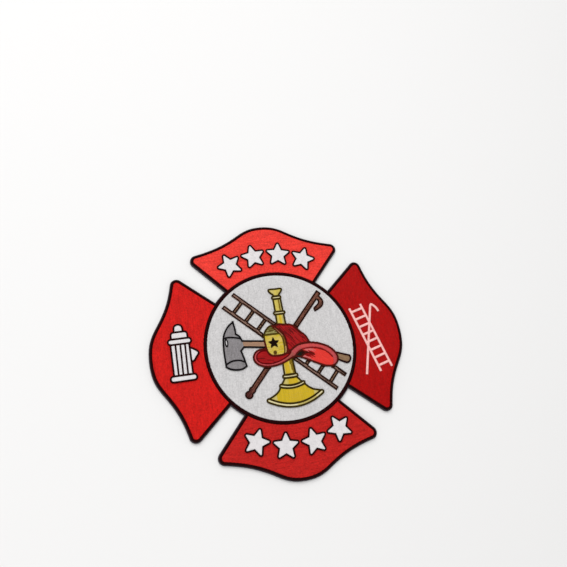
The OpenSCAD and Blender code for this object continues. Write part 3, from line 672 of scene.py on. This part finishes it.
# One red thread in four copies, one per arm, painted lighter or darker: painted highlight on the top arm,
# painted shade on the right.
dye({"red_top": (254, 69, 58, 0.62), "red_right": (182, 4, 3, 0.62), "red_bottom": (206, 35, 31, 0.62),
     "red_left": (222, 29, 24, 0.62)}, contrast=0.1, drift=1.3, drift_size=0.6)
dye({"white_field": (212, 210, 210, 0.8)}, contrast=0.1, drift=1.5, drift_size=0.6)
dye({"white_figure": (226, 222, 223, 0.86)}, contrast=0.1, drift=0.1)
dye({"pinkish_white": (254, 198, 192, 0.82)}, drift=0.1)
dye({"black": (32, 5, 6, 0.6)}, **DARK_LINE)

# %% [markdown]
# ## Putting a piece in its place
# Every piece takes the place of one node of the frame, which is hidden, and rides on the patch's only body.

# %% Placing a piece
totals = Counter()


def put_in_place(piece, node):
    """Hands a finished piece to the frame."""
    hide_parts(node)
    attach(piece, BODY)


def place(node, runs, threads, drop=CORE_DROP):
    """Sews a piece over a node and puts it in place."""
    piece = sew(node + "_stitches", node, runs, threads, drop)
    put_in_place(piece, node)
    made = {"stitches": sum(len(run.starts) for run in runs),
            "triangles": sum(len(f.vertices) - 2 for f in piece.data.polygons)}
    totals.update(made)
    print(piece.name, made)


def rng_for(node):
    return np.random.default_rng(zlib.crc32(node.encode()) + 1)


def top_of(node):
    bm = solid_of(node)
    top = height_of(bm)[1]
    bm.free()
    return top


# %% [markdown]
# ## The red arms and the white centre
# These are the big tatami fills. Each arm's rows run across it, so neighbouring arms catch the light
# differently. All four arms are one red thread, but each arm has its own copy of it, painted lighter or
# darker for how the light falls on it: painted highlight on the top arm, painted shade on the right one. The
# white centre is one fill under all the figures, because a machine lays the ground colour first and sews the
# figures over it.

# %% Fields
FIELD_LENGTH = 3.2
ARM_ANGLES = {"top": 0, "right": 90, "bottom": 0, "left": 90}
CENTRE_ANGLE = 90


def sew_field(node, angle, thread):
    rows = fill(outlines(node), angle, FIELD_LENGTH, rng_for(node))
    place(node, [run_of(rows, top_of(node), shape=FIELD_STITCH)], [thread])


# Each arm takes its own copy of the red thread, painted lighter or darker for the light on that arm.
for side, angle in ARM_ANGLES.items():
    sew_field("arm_field_" + side, angle, "red_" + side)
sew_field("centre_field", CENTRE_ANGLE, "white_field")

# %% [markdown]
# ## The ring and the borders
# A border is satin stitch over a padding of hidden stitches, which makes it stand up in a smooth roll. Each
# stitch runs over the roll from one side to the other, so its middle is lifted by the height of the dome.

# %% Ring and borders
RING_W = 1.65
BORDER_W = 1.2
BORDER_RISE = 0.5
BORDER_DROP = 0.2


def sew_border(node, width):
    path, closed = crest_line(node)
    run = run_of(across_line(path, width, closed), top_of(node), arch=BORDER_RISE, shape=SATIN_STITCH)
    place(node, [run], ["black"], BORDER_DROP)


sew_border("centre_ring", RING_W)
for side in ARM_ANGLES:
    sew_border("arm_border_" + side, BORDER_W)

# %% [markdown]
# ## Helpers for figures
# A figure in embroidery is drawn with thread, so its shading is a change of thread. The next helpers choose
# the thread of each stitch by where its middle lies: in a box, near a line, or now and then at random, which
# gives the streaks of wood grain and of brushed steel.

# %% Choosing threads
EVERY = (-60, 60)


def middles(stitches):
    return (stitches[0] + stitches[1]) / 2


def by_zone(stitches, zones):
    """Number of the thread of each stitch, from boxes of (thread, x range, y range) or (thread, x range)."""
    at = middles(stitches)
    chosen = np.zeros(len(at), int)
    for number, (x0, x1), *rest in zones:
        y0, y1 = rest[0] if rest else EVERY
        chosen[(at[:, 0] > x0) & (at[:, 0] < x1) & (at[:, 1] > y0) & (at[:, 1] < y1)] = number
    return chosen


def distance_to_path(points, path):
    """Distance of each point from an open path."""
    a, b = path[None, :-1], path[None, 1:]
    edge = b - a
    share = np.clip(np.sum((points[:, None] - a) * edge, 2) / np.sum(edge * edge, 2), 0, 1)
    return np.linalg.norm(points[:, None] - a - edge * share[..., None], axis=2).min(axis=1)


def streaked(chosen, rng, streaks):
    """Swaps a share of the stitches for another thread, for each pair of (share, thread)."""
    for share, number in streaks:
        chosen = np.where(rng.random(len(chosen)) < share, number, chosen)
    return chosen


def spot(node, thread, middle, half):
    """Level rows over a node's stitches, across an oval with the given half width and half height."""
    v = np.arange(ROW_PITCH / 2 - half[1], half[1], ROW_PITCH)
    reach = half[0] * np.sqrt(1 - (v / half[1]) ** 2)
    rows = np.column_stack([-reach, v]) + middle, np.column_stack([reach, v]) + middle
    return run_of(rows, top_of(node) + THREAD_H / 2, thread=thread)


# %% Sewing pads and strips
LOW_ARCH = 0.05
STRIP_ARCH = 0.06


def sew_strip(node, threads, usual=LINE_W, widest=None, zones=(), arch=LOW_ARCH):
    """Satin over every line of a node, or from side to side of a narrow pad."""
    satin = across_band(outlines(node), usual, widest)
    run = run_of(satin, top_of(node), arch=arch, thread=by_zone(satin, zones), shape=SATIN_STITCH)
    place(node, [run], threads)


def sew_pad(node, angle, length, threads, zones=(), streaks=(), over=()):
    """A figure's pad filled with rows, their threads chosen by zone and by streak, and runs over them."""
    rng = rng_for(node)
    rows = fill(outlines(node), angle, length, rng)
    chosen = streaked(by_zone(rows, zones), rng, streaks)
    place(node, [run_of(rows, top_of(node), arch=LOW_ARCH, thread=chosen), *over], threads)


# %% [markdown]
# ## Stars
# Eight white stars stand on the top and bottom arms. A digitizer splits a star into its five points and turns
# the stitches in each, so that they run across the point and the star shines like a cut stone. The dark edge
# round each star is a narrow band of satin.

# %% Stars
STAR_POINTS = 5
STAR_STITCH = 6
STAR_EDGE_W = 0.65


def kites(path):
    """A star's outline split at its notches into one closed path for each point, with its direction."""
    middle = path.mean(axis=0)
    far = np.linalg.norm(path - middle, axis=1)
    notches = [i for i in range(len(path)) if far[i] < far[i - 1] and far[i] < far[(i + 1) % len(path)]]
    assert len(notches) == STAR_POINTS, len(notches)
    for here, there in zip(notches, notches[1:] + [notches[0] + len(path)]):
        part = [path[i % len(path)] for i in range(here, there + 1)]
        tip = max(part, key=lambda p: np.linalg.norm(p - middle)) - middle
        yield np.array(part + [middle]), math.degrees(math.atan2(tip[1], tip[0]))


def sew_star(node):
    path, rng, top = outlines(node)[0], rng_for(node), top_of(node)
    rows = [fill([part], direction + 90, STAR_STITCH, rng) for part, direction in kites(path)]
    place(node, [run_of(stitches, top, arch=STRIP_ARCH) for stitches in rows], ["white_figure"])


for row in ("top", "bottom"):
    for number in (1, 2, 3, 4):
        sew_star(f"star_{row}_{number}")
    sew_strip("star_edges_" + row, ["black"], STAR_EDGE_W)

# %% [markdown]
# ## Hydrant
# The hydrant on the left arm is plain white with black lines. Its rows lie level in the cap and the barrel
# and upright in the other parts, so that the parts read as separate masses.

# %% Hydrant
HYDRANT_ROWS = {"cap": (0, 6), "bonnet": (90, 4), "flange": (90, 4), "barrel": (0, 2.03), "outlet": (90, 5),
                "base": (90, 4)}
for part, (angle, length) in HYDRANT_ROWS.items():
    sew_pad("hydrant_" + part, angle, length, ["white_figure"])
sew_strip("hydrant_outline", ["black"])

# %% [markdown]
# ## Hook and ladder
# On the right arm the same tools are drawn in a single white line, satin stitch all the way.

# %% Hook and ladder
sew_strip("side_hook_and_ladder", ["pinkish_white"], 1.0, 1.4, arch=0.1)

# %% [markdown]
# ## Ladder and pike pole
# These lie behind everything. Each is a pale brown core with a dark edge of short stitches, which is how
# embroidery draws a round pole at this size. The rails' dark edges run on over the ends of the rungs, so that
# the rungs read as set between the rails.

# %% Ladder and pike pole
LADDER_SLOPE = -44
PIKE_SLOPE = 46.7
POLE_PITCH = 0.32
POLE_EDGE_W = 0.62
PIKE_EDGE_W = 0.66
RUNG_MOST = 3.0
POLE_STITCH = 5
POLE_INSET = 0.2
CORE_DEPTH = 0.11
CORE_HEIGHT = 0.14
RUNG_GAP = 0.1
RUNG_ROW = 1.6
BALL_BOX = (1, (-20.5, -16.2), (-22, -17.4))
dye({"ladder_brown": (138, 109, 95, 0.75), "rung_brown": (122, 94, 72, 0.75),
     "pike_brown": (118, 74, 58, 0.7), "ball_brown": (84, 38, 34, 0.7)})
dye({"pole_edge": (33, 13, 7, 0.6)}, **DARK_LINE)


def rung_ends(paths, slope, width):
    """Short stitches over the places where the end of a rung meets the edge of a rail."""
    a, b = edges_of([turned(p, -slope) for p in paths])
    heights = np.sort(a[np.abs(a[:, 1] - b[:, 1]) < LEVEL, 1])
    heights = heights[np.diff(heights, prepend=-math.inf) > RUNG_GAP]
    at = []
    for v in heights:
        for left, right in [*stretches(a, b, v - RUNG_GAP), *stretches(a, b, v + RUNG_GAP)]:
            if right - left < RUNG_MOST:
                count = max(2, round((right - left) / POLE_PITCH))
                at += [(u, v) for u in left + (np.arange(count) + 0.5) / count * (right - left)]
    half = np.array([0, width / 2])
    return turned(np.array(at) - half, slope), turned(np.array(at) + half, slope)


def sew_pole(node, slope, threads, is_other, edge_w, has_rungs=False):
    """A pole or ladder: core rows along it, and short dark stitches round its edge."""
    paths, rng, top = outlines(node), rng_for(node), top_of(node)
    rows = fill(paths, slope, POLE_STITCH, rng, POLE_PITCH, POLE_INSET)
    runs = [run_of(rows, top - CORE_DEPTH, CORE_HEIGHT, thread=np.where(is_other(rows), 2, 1)),
            run_of(along_edge(paths, edge_w, POLE_PITCH), top)]
    if has_rungs:
        runs.append(run_of(rung_ends(paths, slope, edge_w), top))
    place(node, runs, ["pole_edge", *threads])


def is_rung(rows):
    return np.linalg.norm(rows[1] - rows[0], axis=1) < RUNG_ROW


def is_ball(rows):
    return by_zone(rows, [BALL_BOX]) > 0


for part in ("upper", "lower"):
    sew_pole("ladder_" + part, LADDER_SLOPE, ["ladder_brown", "rung_brown"], is_rung, POLE_EDGE_W,
             has_rungs=True)
    sew_pole("pike_pole_" + part, PIKE_SLOPE, ["pike_brown", "ball_brown"], is_ball, PIKE_EDGE_W)

# %% [markdown]
# ## Axe
# The head is steel grey, with darker strands mixed in that read as brushed metal. The handle's rows run with
# the grain, in three browns mixed at random.

# %% Axe
HANDLE_SLOPE = -8.3
dye({"steel": (143, 139, 141, 0.7), "dark_steel": (140, 136, 137, 0.7)}, drift=1.5, drift_size=0.6)
dye({"pale_steel": (214, 211, 212, 0.85), "wood": (170, 135, 110, 0.75), "dark_wood": (132, 102, 82, 0.75),
     "peach_wood": (182, 141, 112, 0.8), "old_wood": (146, 116, 87, 0.75)})
dye({"steel_line": (12, 10, 11, 0.6)}, **DARK_LINE)

sew_pad("axe_head", 82, 2.2, ["steel", "dark_steel", "pale_steel"], streaks=[(0.35, 1)],
        over=[spot("axe_head", 2, (-24.35, 4.0), (0.28, 1.1))])
sew_pad("axe_handle", HANDLE_SLOPE, 4.5, ["wood", "dark_wood", "peach_wood"], [(2, (-10, 0), (-5, 5))],
        [(0.3, 1), (0.15, 2)])
sew_strip("axe_outline", ["steel_line"])
sew_pad("axe_handle_end", -28, 4.5, ["old_wood", "dark_wood"], streaks=[(0.25, 1)])
sew_strip("axe_handle_end_outline", ["black"])

# %% [markdown]
# ## Trumpet
# The speaking trumpet is the old officers' badge. Its tubes are sewn lengthwise, so that a change of thread
# from one column to the next shades them round. Pale rolls part the tubes, and the bell opens below.

# %% Trumpet threads
dye({"brass": (209, 190, 92, 0.78), "tube_brown": (120, 96, 14, 0.7), "tan": (182, 170, 104, 0.8),
     "light_gold": (204, 187, 109, 0.85), "bell_gold": (205, 175, 37, 0.8), "warm_gold": (208, 176, 43, 0.8),
     "pale_gold": (233, 221, 172, 0.88)})
dye({"olive_outline": (61, 48, 8, 0.6)}, **DARK_LINE)
BRASS, TUBE_BROWN, TAN, LIGHT_GOLD, BELL_GOLD, WARM_GOLD = range(6)
TRUMPET_THREADS = ["brass", "tube_brown", "tan", "light_gold", "bell_gold", "warm_gold"]

# %% Trumpet
TRUMPET_PARTS = {
    "mouthpiece": (4, [(LIGHT_GOLD, (-2, 0.6))]),
    "tube_upper": (5, [(TUBE_BROWN, (1.6, 2.3)), (TAN, (2.3, 3.5))]),
    "tube_middle": (5, [(WARM_GOLD, (0.8, 1.8)), (TAN, (2.3, 3.5))]),
    "tube_lower": (5, [(LIGHT_GOLD, (-2, -0.6)), (WARM_GOLD, (-0.6, 1.4)),
                       (BELL_GOLD, (1.4, 1.8)), (TUBE_BROWN, (1.8, 4))]),
    "throat": (5, [(WARM_GOLD, (0, 2)), (BELL_GOLD, (2, 4)), (LIGHT_GOLD, (-4, -1))]),
    "bell": (3.6, [(BELL_GOLD, EVERY), (WARM_GOLD, (-1, 5)), (LIGHT_GOLD, (-12, -6.5)),
                   (LIGHT_GOLD, (10.5, 15))])}
for part, (length, columns) in TRUMPET_PARTS.items():
    streaks = [(0.12, BRASS)] if part == "tube_lower" else []
    sew_pad("trumpet_" + part, 90, length, TRUMPET_THREADS, columns, streaks)
for number in (1, 2, 3, 4):
    sew_strip(f"trumpet_band_{number}", ["pale_gold"], 0.5, 1.0, arch=STRIP_ARCH)
sew_strip("trumpet_bell_rim", ["pale_gold", "light_gold"], 0.75, 1.2, [(1, (2, 11))], STRIP_ARCH)
for part in ("upper", "lower"):
    sew_strip("trumpet_outline_" + part, ["olive_outline"])

# %% [markdown]
# ## Helmet
# The helmet is the middle of the patch and its most worked figure. The shell has slanting rows with brighter
# strands down its near side. The brim has three pieces: the near face, a pale rolled edge sewn across, and
# the bright underside that shows where the brim turns up at the back. The front plate has a crest above it, a
# narrow side and a dark star.

# %% Helmet threads
dye({"helmet_red": (165, 19, 22, 0.7), "helmet_bright": (171, 25, 26, 0.75), "helmet_dark": (104, 5, 7, 0.7),
     "roll_pink": (192, 78, 81, 0.82), "roll_peach": (164, 82, 74, 0.82), "roll_rose": (204, 79, 78, 0.82),
     "underside": (227, 60, 51, 0.82), "underside_pink": (210, 106, 104, 0.82),
     "streak_red": (138, 8, 8, 0.7), "shield_peach": (212, 185, 89, 0.85), "shield_emblem": (76, 50, 4, 0.75),
     "olive": (104, 97, 48, 0.75), "olive_light": (156, 148, 92, 0.8), "olive_dark": (76, 60, 4, 0.75),
     "shield_side": (176, 124, 84, 0.82), "shield_side_pale": (190, 150, 98, 0.85),
     "shield_side_olive": (120, 90, 26, 0.8)})
dye({"shield_yellow": (212, 190, 90, 0.75), "shield_green": (210, 184, 55, 0.75)}, drift=1.3, drift_size=0.8)
dye({"shield_star": (14, 6, 3, 0.6), "maroon_outline": (88, 25, 16, 0.6), "deep_red": (104, 5, 10, 0.65)},
    **DARK_LINE)
dye({"hollow_green": (22, 24, 18, 0.6), "hollow_brown": (52, 8, 4, 0.6)}, gloss=DARK_LINE["gloss"])
HELMET_REDS = ["helmet_red", "helmet_bright", "helmet_dark"]

# %% Helmet
UNDER_SEAM = np.array([(9.2, -3.1), (10.5, -2.85), (14.2, -3.1), (17.7, -4.2), (20.2, -6.0), (22.0, -8.4),
                       (22.2, -9.6)])
SHIELD_EDGE = np.array([(0.6, -3.2), (0.85, -1.8), (0.8, 2.6), (0.3, 4.3)])
SEAM_REACH = 0.6
TOUCH_REACH = 0.3
BRIM_LINE_RISE = 0.08
LONG_ROW = 1.1
UNDER_DEPTH = 0.05


def shared_edge(node, other):
    """The part of a node's outline that runs along another node, as an open path."""
    path, beside = outlines(node)[0], outlines(other)[0]
    near = distance_to_path(path, np.vstack([beside, beside[:1]])) < TOUCH_REACH
    first = next(i for i in range(len(path)) if near[i] and not near[i - 1])
    path, near = np.roll(path, -first, axis=0), np.roll(near, -first)
    return path[:np.argmin(near)]


def brim_line(node, thread):
    """The line where the rolled edge rises from the near face of the brim."""
    line = across_line(shared_edge(node, "helmet_brim_roll"), LINE_W)
    return run_of(line, top_of(node) + BRIM_LINE_RISE, arch=LOW_ARCH, thread=thread, shape=SATIN_STITCH)


def sew_helmet_lines(node):
    """The helmet's dark lines in the colours of what they border, over rows that cover its hollow."""
    paths, rng, top = outlines(node), rng_for(node), top_of(node)
    starts, ends = fill(paths, -25, 3, rng)
    longer = np.linalg.norm(ends - starts, axis=1) > LONG_ROW
    under = starts[longer], ends[longer]
    hollow = by_zone(under, [(1, (4.6, 8.2), (-7, -3)), (2, (8.2, 10.2), (-6, -3)),
                             (3, (10.2, 13.4), (-6, -3))])
    satin = across_band(paths, LINE_W)
    colour = by_zone(satin, [(4, (-7.2, 0.2), (4.7, 5.7)), (5, (-8.2, -3.1), (5.7, 9.8)),
                             (5, (-8.2, -7), (3, 5.7))])
    for seam, number in ((UNDER_SEAM, 3), (SHIELD_EDGE, 4)):
        colour = np.where(distance_to_path(middles(satin), seam) < SEAM_REACH, number, colour)
    runs = [run_of(under, top - UNDER_DEPTH, thread=hollow),
            run_of(satin, top, arch=LOW_ARCH, thread=colour, shape=SATIN_STITCH)]
    place(node, runs, ["maroon_outline", "hollow_green", "hollow_brown", "streak_red", "olive_dark",
                       "olive_outline"])


sew_pad("helmet_crown", -52, 3.4, HELMET_REDS,
        [(1, (6.2, 8.8), (-2, 4.2)), (2, (-1, 9), (4.6, 6.6)), (2, (10, 13))], [(0.14, 1), (0.22, 2)])
sew_pad("helmet_brim", -8, 3.4, [*HELMET_REDS, "deep_red"], streaks=[(0.12, 1), (0.1, 2)],
        over=[brim_line("helmet_brim", 3)])
sew_strip("helmet_brim_roll", ["roll_pink", "roll_peach", "roll_rose"], 1.6, 3.2,
          [(1, (0, 4.6), (-8, 0)), (2, (8, 22), (-6, 0))], STRIP_ARCH)
sew_pad("helmet_brim_underside", -33, 3.4, ["underside", "underside_pink", "streak_red"],
        [(1, (7.5, 12.3), (-9, -6.6)), (1, (10.2, 14.4), (-4.5, -3)), (2, (8.4, 12.8), (-6.6, -4.5))])
sew_pad("helmet_shield", 0, 1.8, ["shield_yellow", "shield_peach", "shield_green", "shield_emblem"],
        [(1, (-1.2, 0.8), (1, 4.6)), (1, (-7.5, -3.2), (-4.4, -3)), (2, (-1.8, 0.8), (-3.2, -0.6)),
         (2, (-7.6, -5.6), (3, 5.2)), (1, (-5.0, -2.6), (-2.4, -0.8))], [(0.14, 1), (0.14, 2)],
        over=[spot("helmet_shield", 3, (-3.7, -3.0), (0.85, 0.9))])
sew_pad("helmet_shield_crest", 0, 1.3, ["olive", "olive_light", "olive_dark"],
        [(1, (-6.9, -4.4), (6, 7.3)), (1, (-3.2, -1.8), (6, 7.3)), (2, EVERY, (4.6, 5.9))],
        [(0.12, 1), (0.3, 2)])
sew_strip("helmet_shield_side", ["shield_side", "shield_side_pale", "shield_side_olive"], 1.0, 1.8,
          [(2, EVERY, (-0.6, 4.2)), (1, EVERY, (-5, -0.6))], STRIP_ARCH)
sew_pad("helmet_shield_star", 90, 3, ["shield_star"])
sew_helmet_lines("helmet_outline")

# %% [markdown]
# ## Ground cloth
# Under everything lies the cut cloth. Only its edge shows from the front, and its whole back from behind.
# Parallel planes cut the node's own solid into strips, and every other cut is pressed in, which gives both
# faces the diagonal ribs of twill as real shape. The floats of yarn on each rib are too many to model, so a
# shader group draws them, with the gaps between the floats painted darker as painted shade. Heat has sealed
# the cut edge and left it smoother than the cloth.

# %% Shape of the ground
RIB_PITCH = 0.6
RIB_DEPTH = 0.07
RIB_ANGLE = math.radians(55)
UPRIGHT = 0.5
SAME_PLANE = math.radians(1)


def twill_ground(node):
    """The cut cloth in metres, with twill pressed into both faces. Its cut edge has the second material."""
    bm = solid_of(node)
    low, high = height_of(bm)
    bmesh.ops.dissolve_limit(bm, angle_limit=SAME_PLANE, verts=bm.verts, edges=bm.edges)
    across = Vector((-math.sin(RIB_ANGLE), math.cos(RIB_ANGLE), 0))
    reach = max(v.co.length for v in bm.verts)
    valleys = []
    for k in range(math.ceil(2 * reach / (RIB_PITCH / 2))):
        at = across * (-reach + k * RIB_PITCH / 2)
        everything = bm.verts[:] + bm.edges[:] + bm.faces[:]
        done = bmesh.ops.bisect_plane(bm, geom=everything, dist=TOUCH, plane_co=at, plane_no=across)
        if k % 2:
            valleys += [g for g in done["geom_cut"] if isinstance(g, bmesh.types.BMVert)]
    for v in valleys:
        v.co.z += RIB_DEPTH if v.co.z < (low + high) / 2 else -RIB_DEPTH
    bmesh.ops.recalc_face_normals(bm, faces=bm.faces)
    for face in bm.faces:
        face.material_index = int(abs(face.normal.z) < UPRIGHT)
    bmesh.ops.scale(bm, vec=(MM, MM, MM), verts=bm.verts)
    return bm


def object_from(bm, name, materials):
    """An object made of a finished bmesh."""
    mesh = bpy.data.meshes.new(name)
    bm.to_mesh(mesh)
    bm.free()
    for material in materials:
        mesh.materials.append(material)
    print(name, len(mesh.polygons), "faces")
    return new_object(name, mesh)


# %% Cloth materials
FLOAT_LENGTH = 0.4
FLOAT_SET_BACK = 0.37
YARN_SHARE = 0.6
FUZZ_SHARE = 0.5
FUZZ_SIZE = 0.5
LINT_SIZE = 0.4
LINT_FROM, LINT_FULL = 0.62, 0.78
LINT_COLOUR = (0.62, 0.6, 0.58, 1)
LINT_ROUGH = 0.3
WEAVE_BUMP = 0.06
CLOTH_GLOSS = 0.2


def weave_group():
    """Floats of yarn along the ribs of a twill, each rib's set back from the last one's, with painted shade
    in the gaps between floats and pale lint.
    """
    tree, given, put = new_group(
        "twill weave",
        {"Yarn Color": WHITE, "Gap Shade Color": WHITE, "Depth": 0.5, "Roughness": 0.8, "Lint": 0.1},
        {"Base Color": "Color", "Roughness": "Float", "Normal": "Vector"})
    place = add(tree, "TexCoord").outputs["Object"]
    ribs = add(tree, "VectorRotate", {"Vector": place, "Angle": -RIB_ANGLE}, rotation_type="Z_AXIS")
    along, across, _ = add(tree, "SeparateXYZ", {0: ribs.outputs[0]}).outputs
    rib = calc(tree, "FLOOR", calc(tree, "DIVIDE", across, RIB_PITCH * MM))
    along = calc(tree, "DIVIDE", calc(tree, "DIVIDE", along, FLOAT_LENGTH), MM)
    yarn = waves(tree, calc(tree, "ADD", along, calc(tree, "MULTIPLY", rib, FLOAT_SET_BACK)))
    fuzz = calc(tree, "MULTIPLY", clouds(tree, place, FUZZ_SIZE), FUZZ_SHARE)
    share = calc(tree, "ADD", calc(tree, "MULTIPLY", yarn, YARN_SHARE), fuzz)
    # Between the floats the colour goes to the gap colour: painted shade in the gaps.
    colour = mix_colour(tree, share, given["Gap Shade Color"], given["Yarn Color"])
    specks = clouds(tree, place, LINT_SIZE, detail=3.0)
    sharp = add(tree, "MapRange", {"Value": specks, "From Min": LINT_FROM, "From Max": LINT_FULL}).outputs[0]
    lint = calc(tree, "MULTIPLY", sharp, given["Lint"])
    rough = calc(tree, "ADD", given["Roughness"], calc(tree, "MULTIPLY", lint, LINT_ROUGH), clamp=True)
    bump = add(tree, "Bump", {"Strength": given["Depth"], "Distance": WEAVE_BUMP * MM, "Height": yarn})
    give(tree, put["Base Color"], mix_colour(tree, lint, colour, LINT_COLOUR))
    give(tree, put["Roughness"], rough)
    give(tree, put["Normal"], bump.outputs["Normal"])
    return tree


WEAVE = weave_group()


def cloth(name, yarn, gap, depth, rough, lint):
    """Material of the ground cloth or of its cut edge."""
    inputs = {"Yarn Color": linear(yarn), "Gap Shade Color": linear(gap), "Depth": depth, "Roughness": rough,
              "Lint": lint}
    return material_of(name, WEAVE, inputs, {"Specular IOR Level": CLOTH_GLOSS})


# The second colour of each cloth is the painted shade in the gaps between the floats.
GROUND_CLOTH = cloth("ground_cloth", (74, 66, 74), (30, 26, 32), 0.8, 0.85, 0.15)
CUT_EDGE = cloth("cut_edge", (64, 56, 62), (38, 32, 38), 0.3, 0.6, 0.1)
ground = object_from(twill_ground("ground"), "ground_cloth", [GROUND_CLOTH, CUT_EDGE])
put_in_place(ground, "ground")

# %% [markdown]
# ## Floor and light
# A plain pale floor and soft studio light: one large lamp above the top edge, which gives the threads their
# gloss, a weaker one from the lower left, and an even sky.

# %% Floor, lights and colour
FLOOR_REACH = 3
FLOOR_DROP = 0.0002
FLOOR_COLOUR = (0.78, 0.775, 0.77, 1)
FLOOR_ROUGH = 0.8
LAMP_SIZE = 0.8
SKY = 0.55


def add_lamp(name, place, power):
    lamp = bpy.data.lights.new(name, "AREA")
    lamp.size = LAMP_SIZE
    lamp.energy = power
    aim(new_object(name, lamp), Vector(place), -Vector(place))


bm = bmesh.new()
bmesh.ops.create_grid(bm, x_segments=1, y_segments=1, size=FLOOR_REACH)
bmesh.ops.translate(bm, vec=(0, 0, -FLOOR_DROP), verts=bm.verts)
paint = material_of("floor", None, {}, {"Base Color": FLOOR_COLOUR, "Roughness": FLOOR_ROUGH})
object_from(bm, "floor", [paint])
add_lamp("key", (-0.12, 0.46, 0.84), 6.3)
add_lamp("fill", (-0.6, -0.5, 0.8), 3.0)
world = bpy.data.worlds.new("studio")
world.use_nodes = True
sky = world.node_tree.nodes["Background"].inputs
sky["Color"].default_value = WHITE
sky["Strength"].default_value = SKY
bpy.context.scene.world = world
bpy.context.scene.view_settings.view_transform = "Standard"
print("lamps:", [lamp.name for lamp in bpy.data.lights if lamp.users])

# %% [markdown]
# ## The end
# The counts of stitches and triangles of all the pieces are printed.

# %% Print the totals and finish
print("total:", dict(totals))
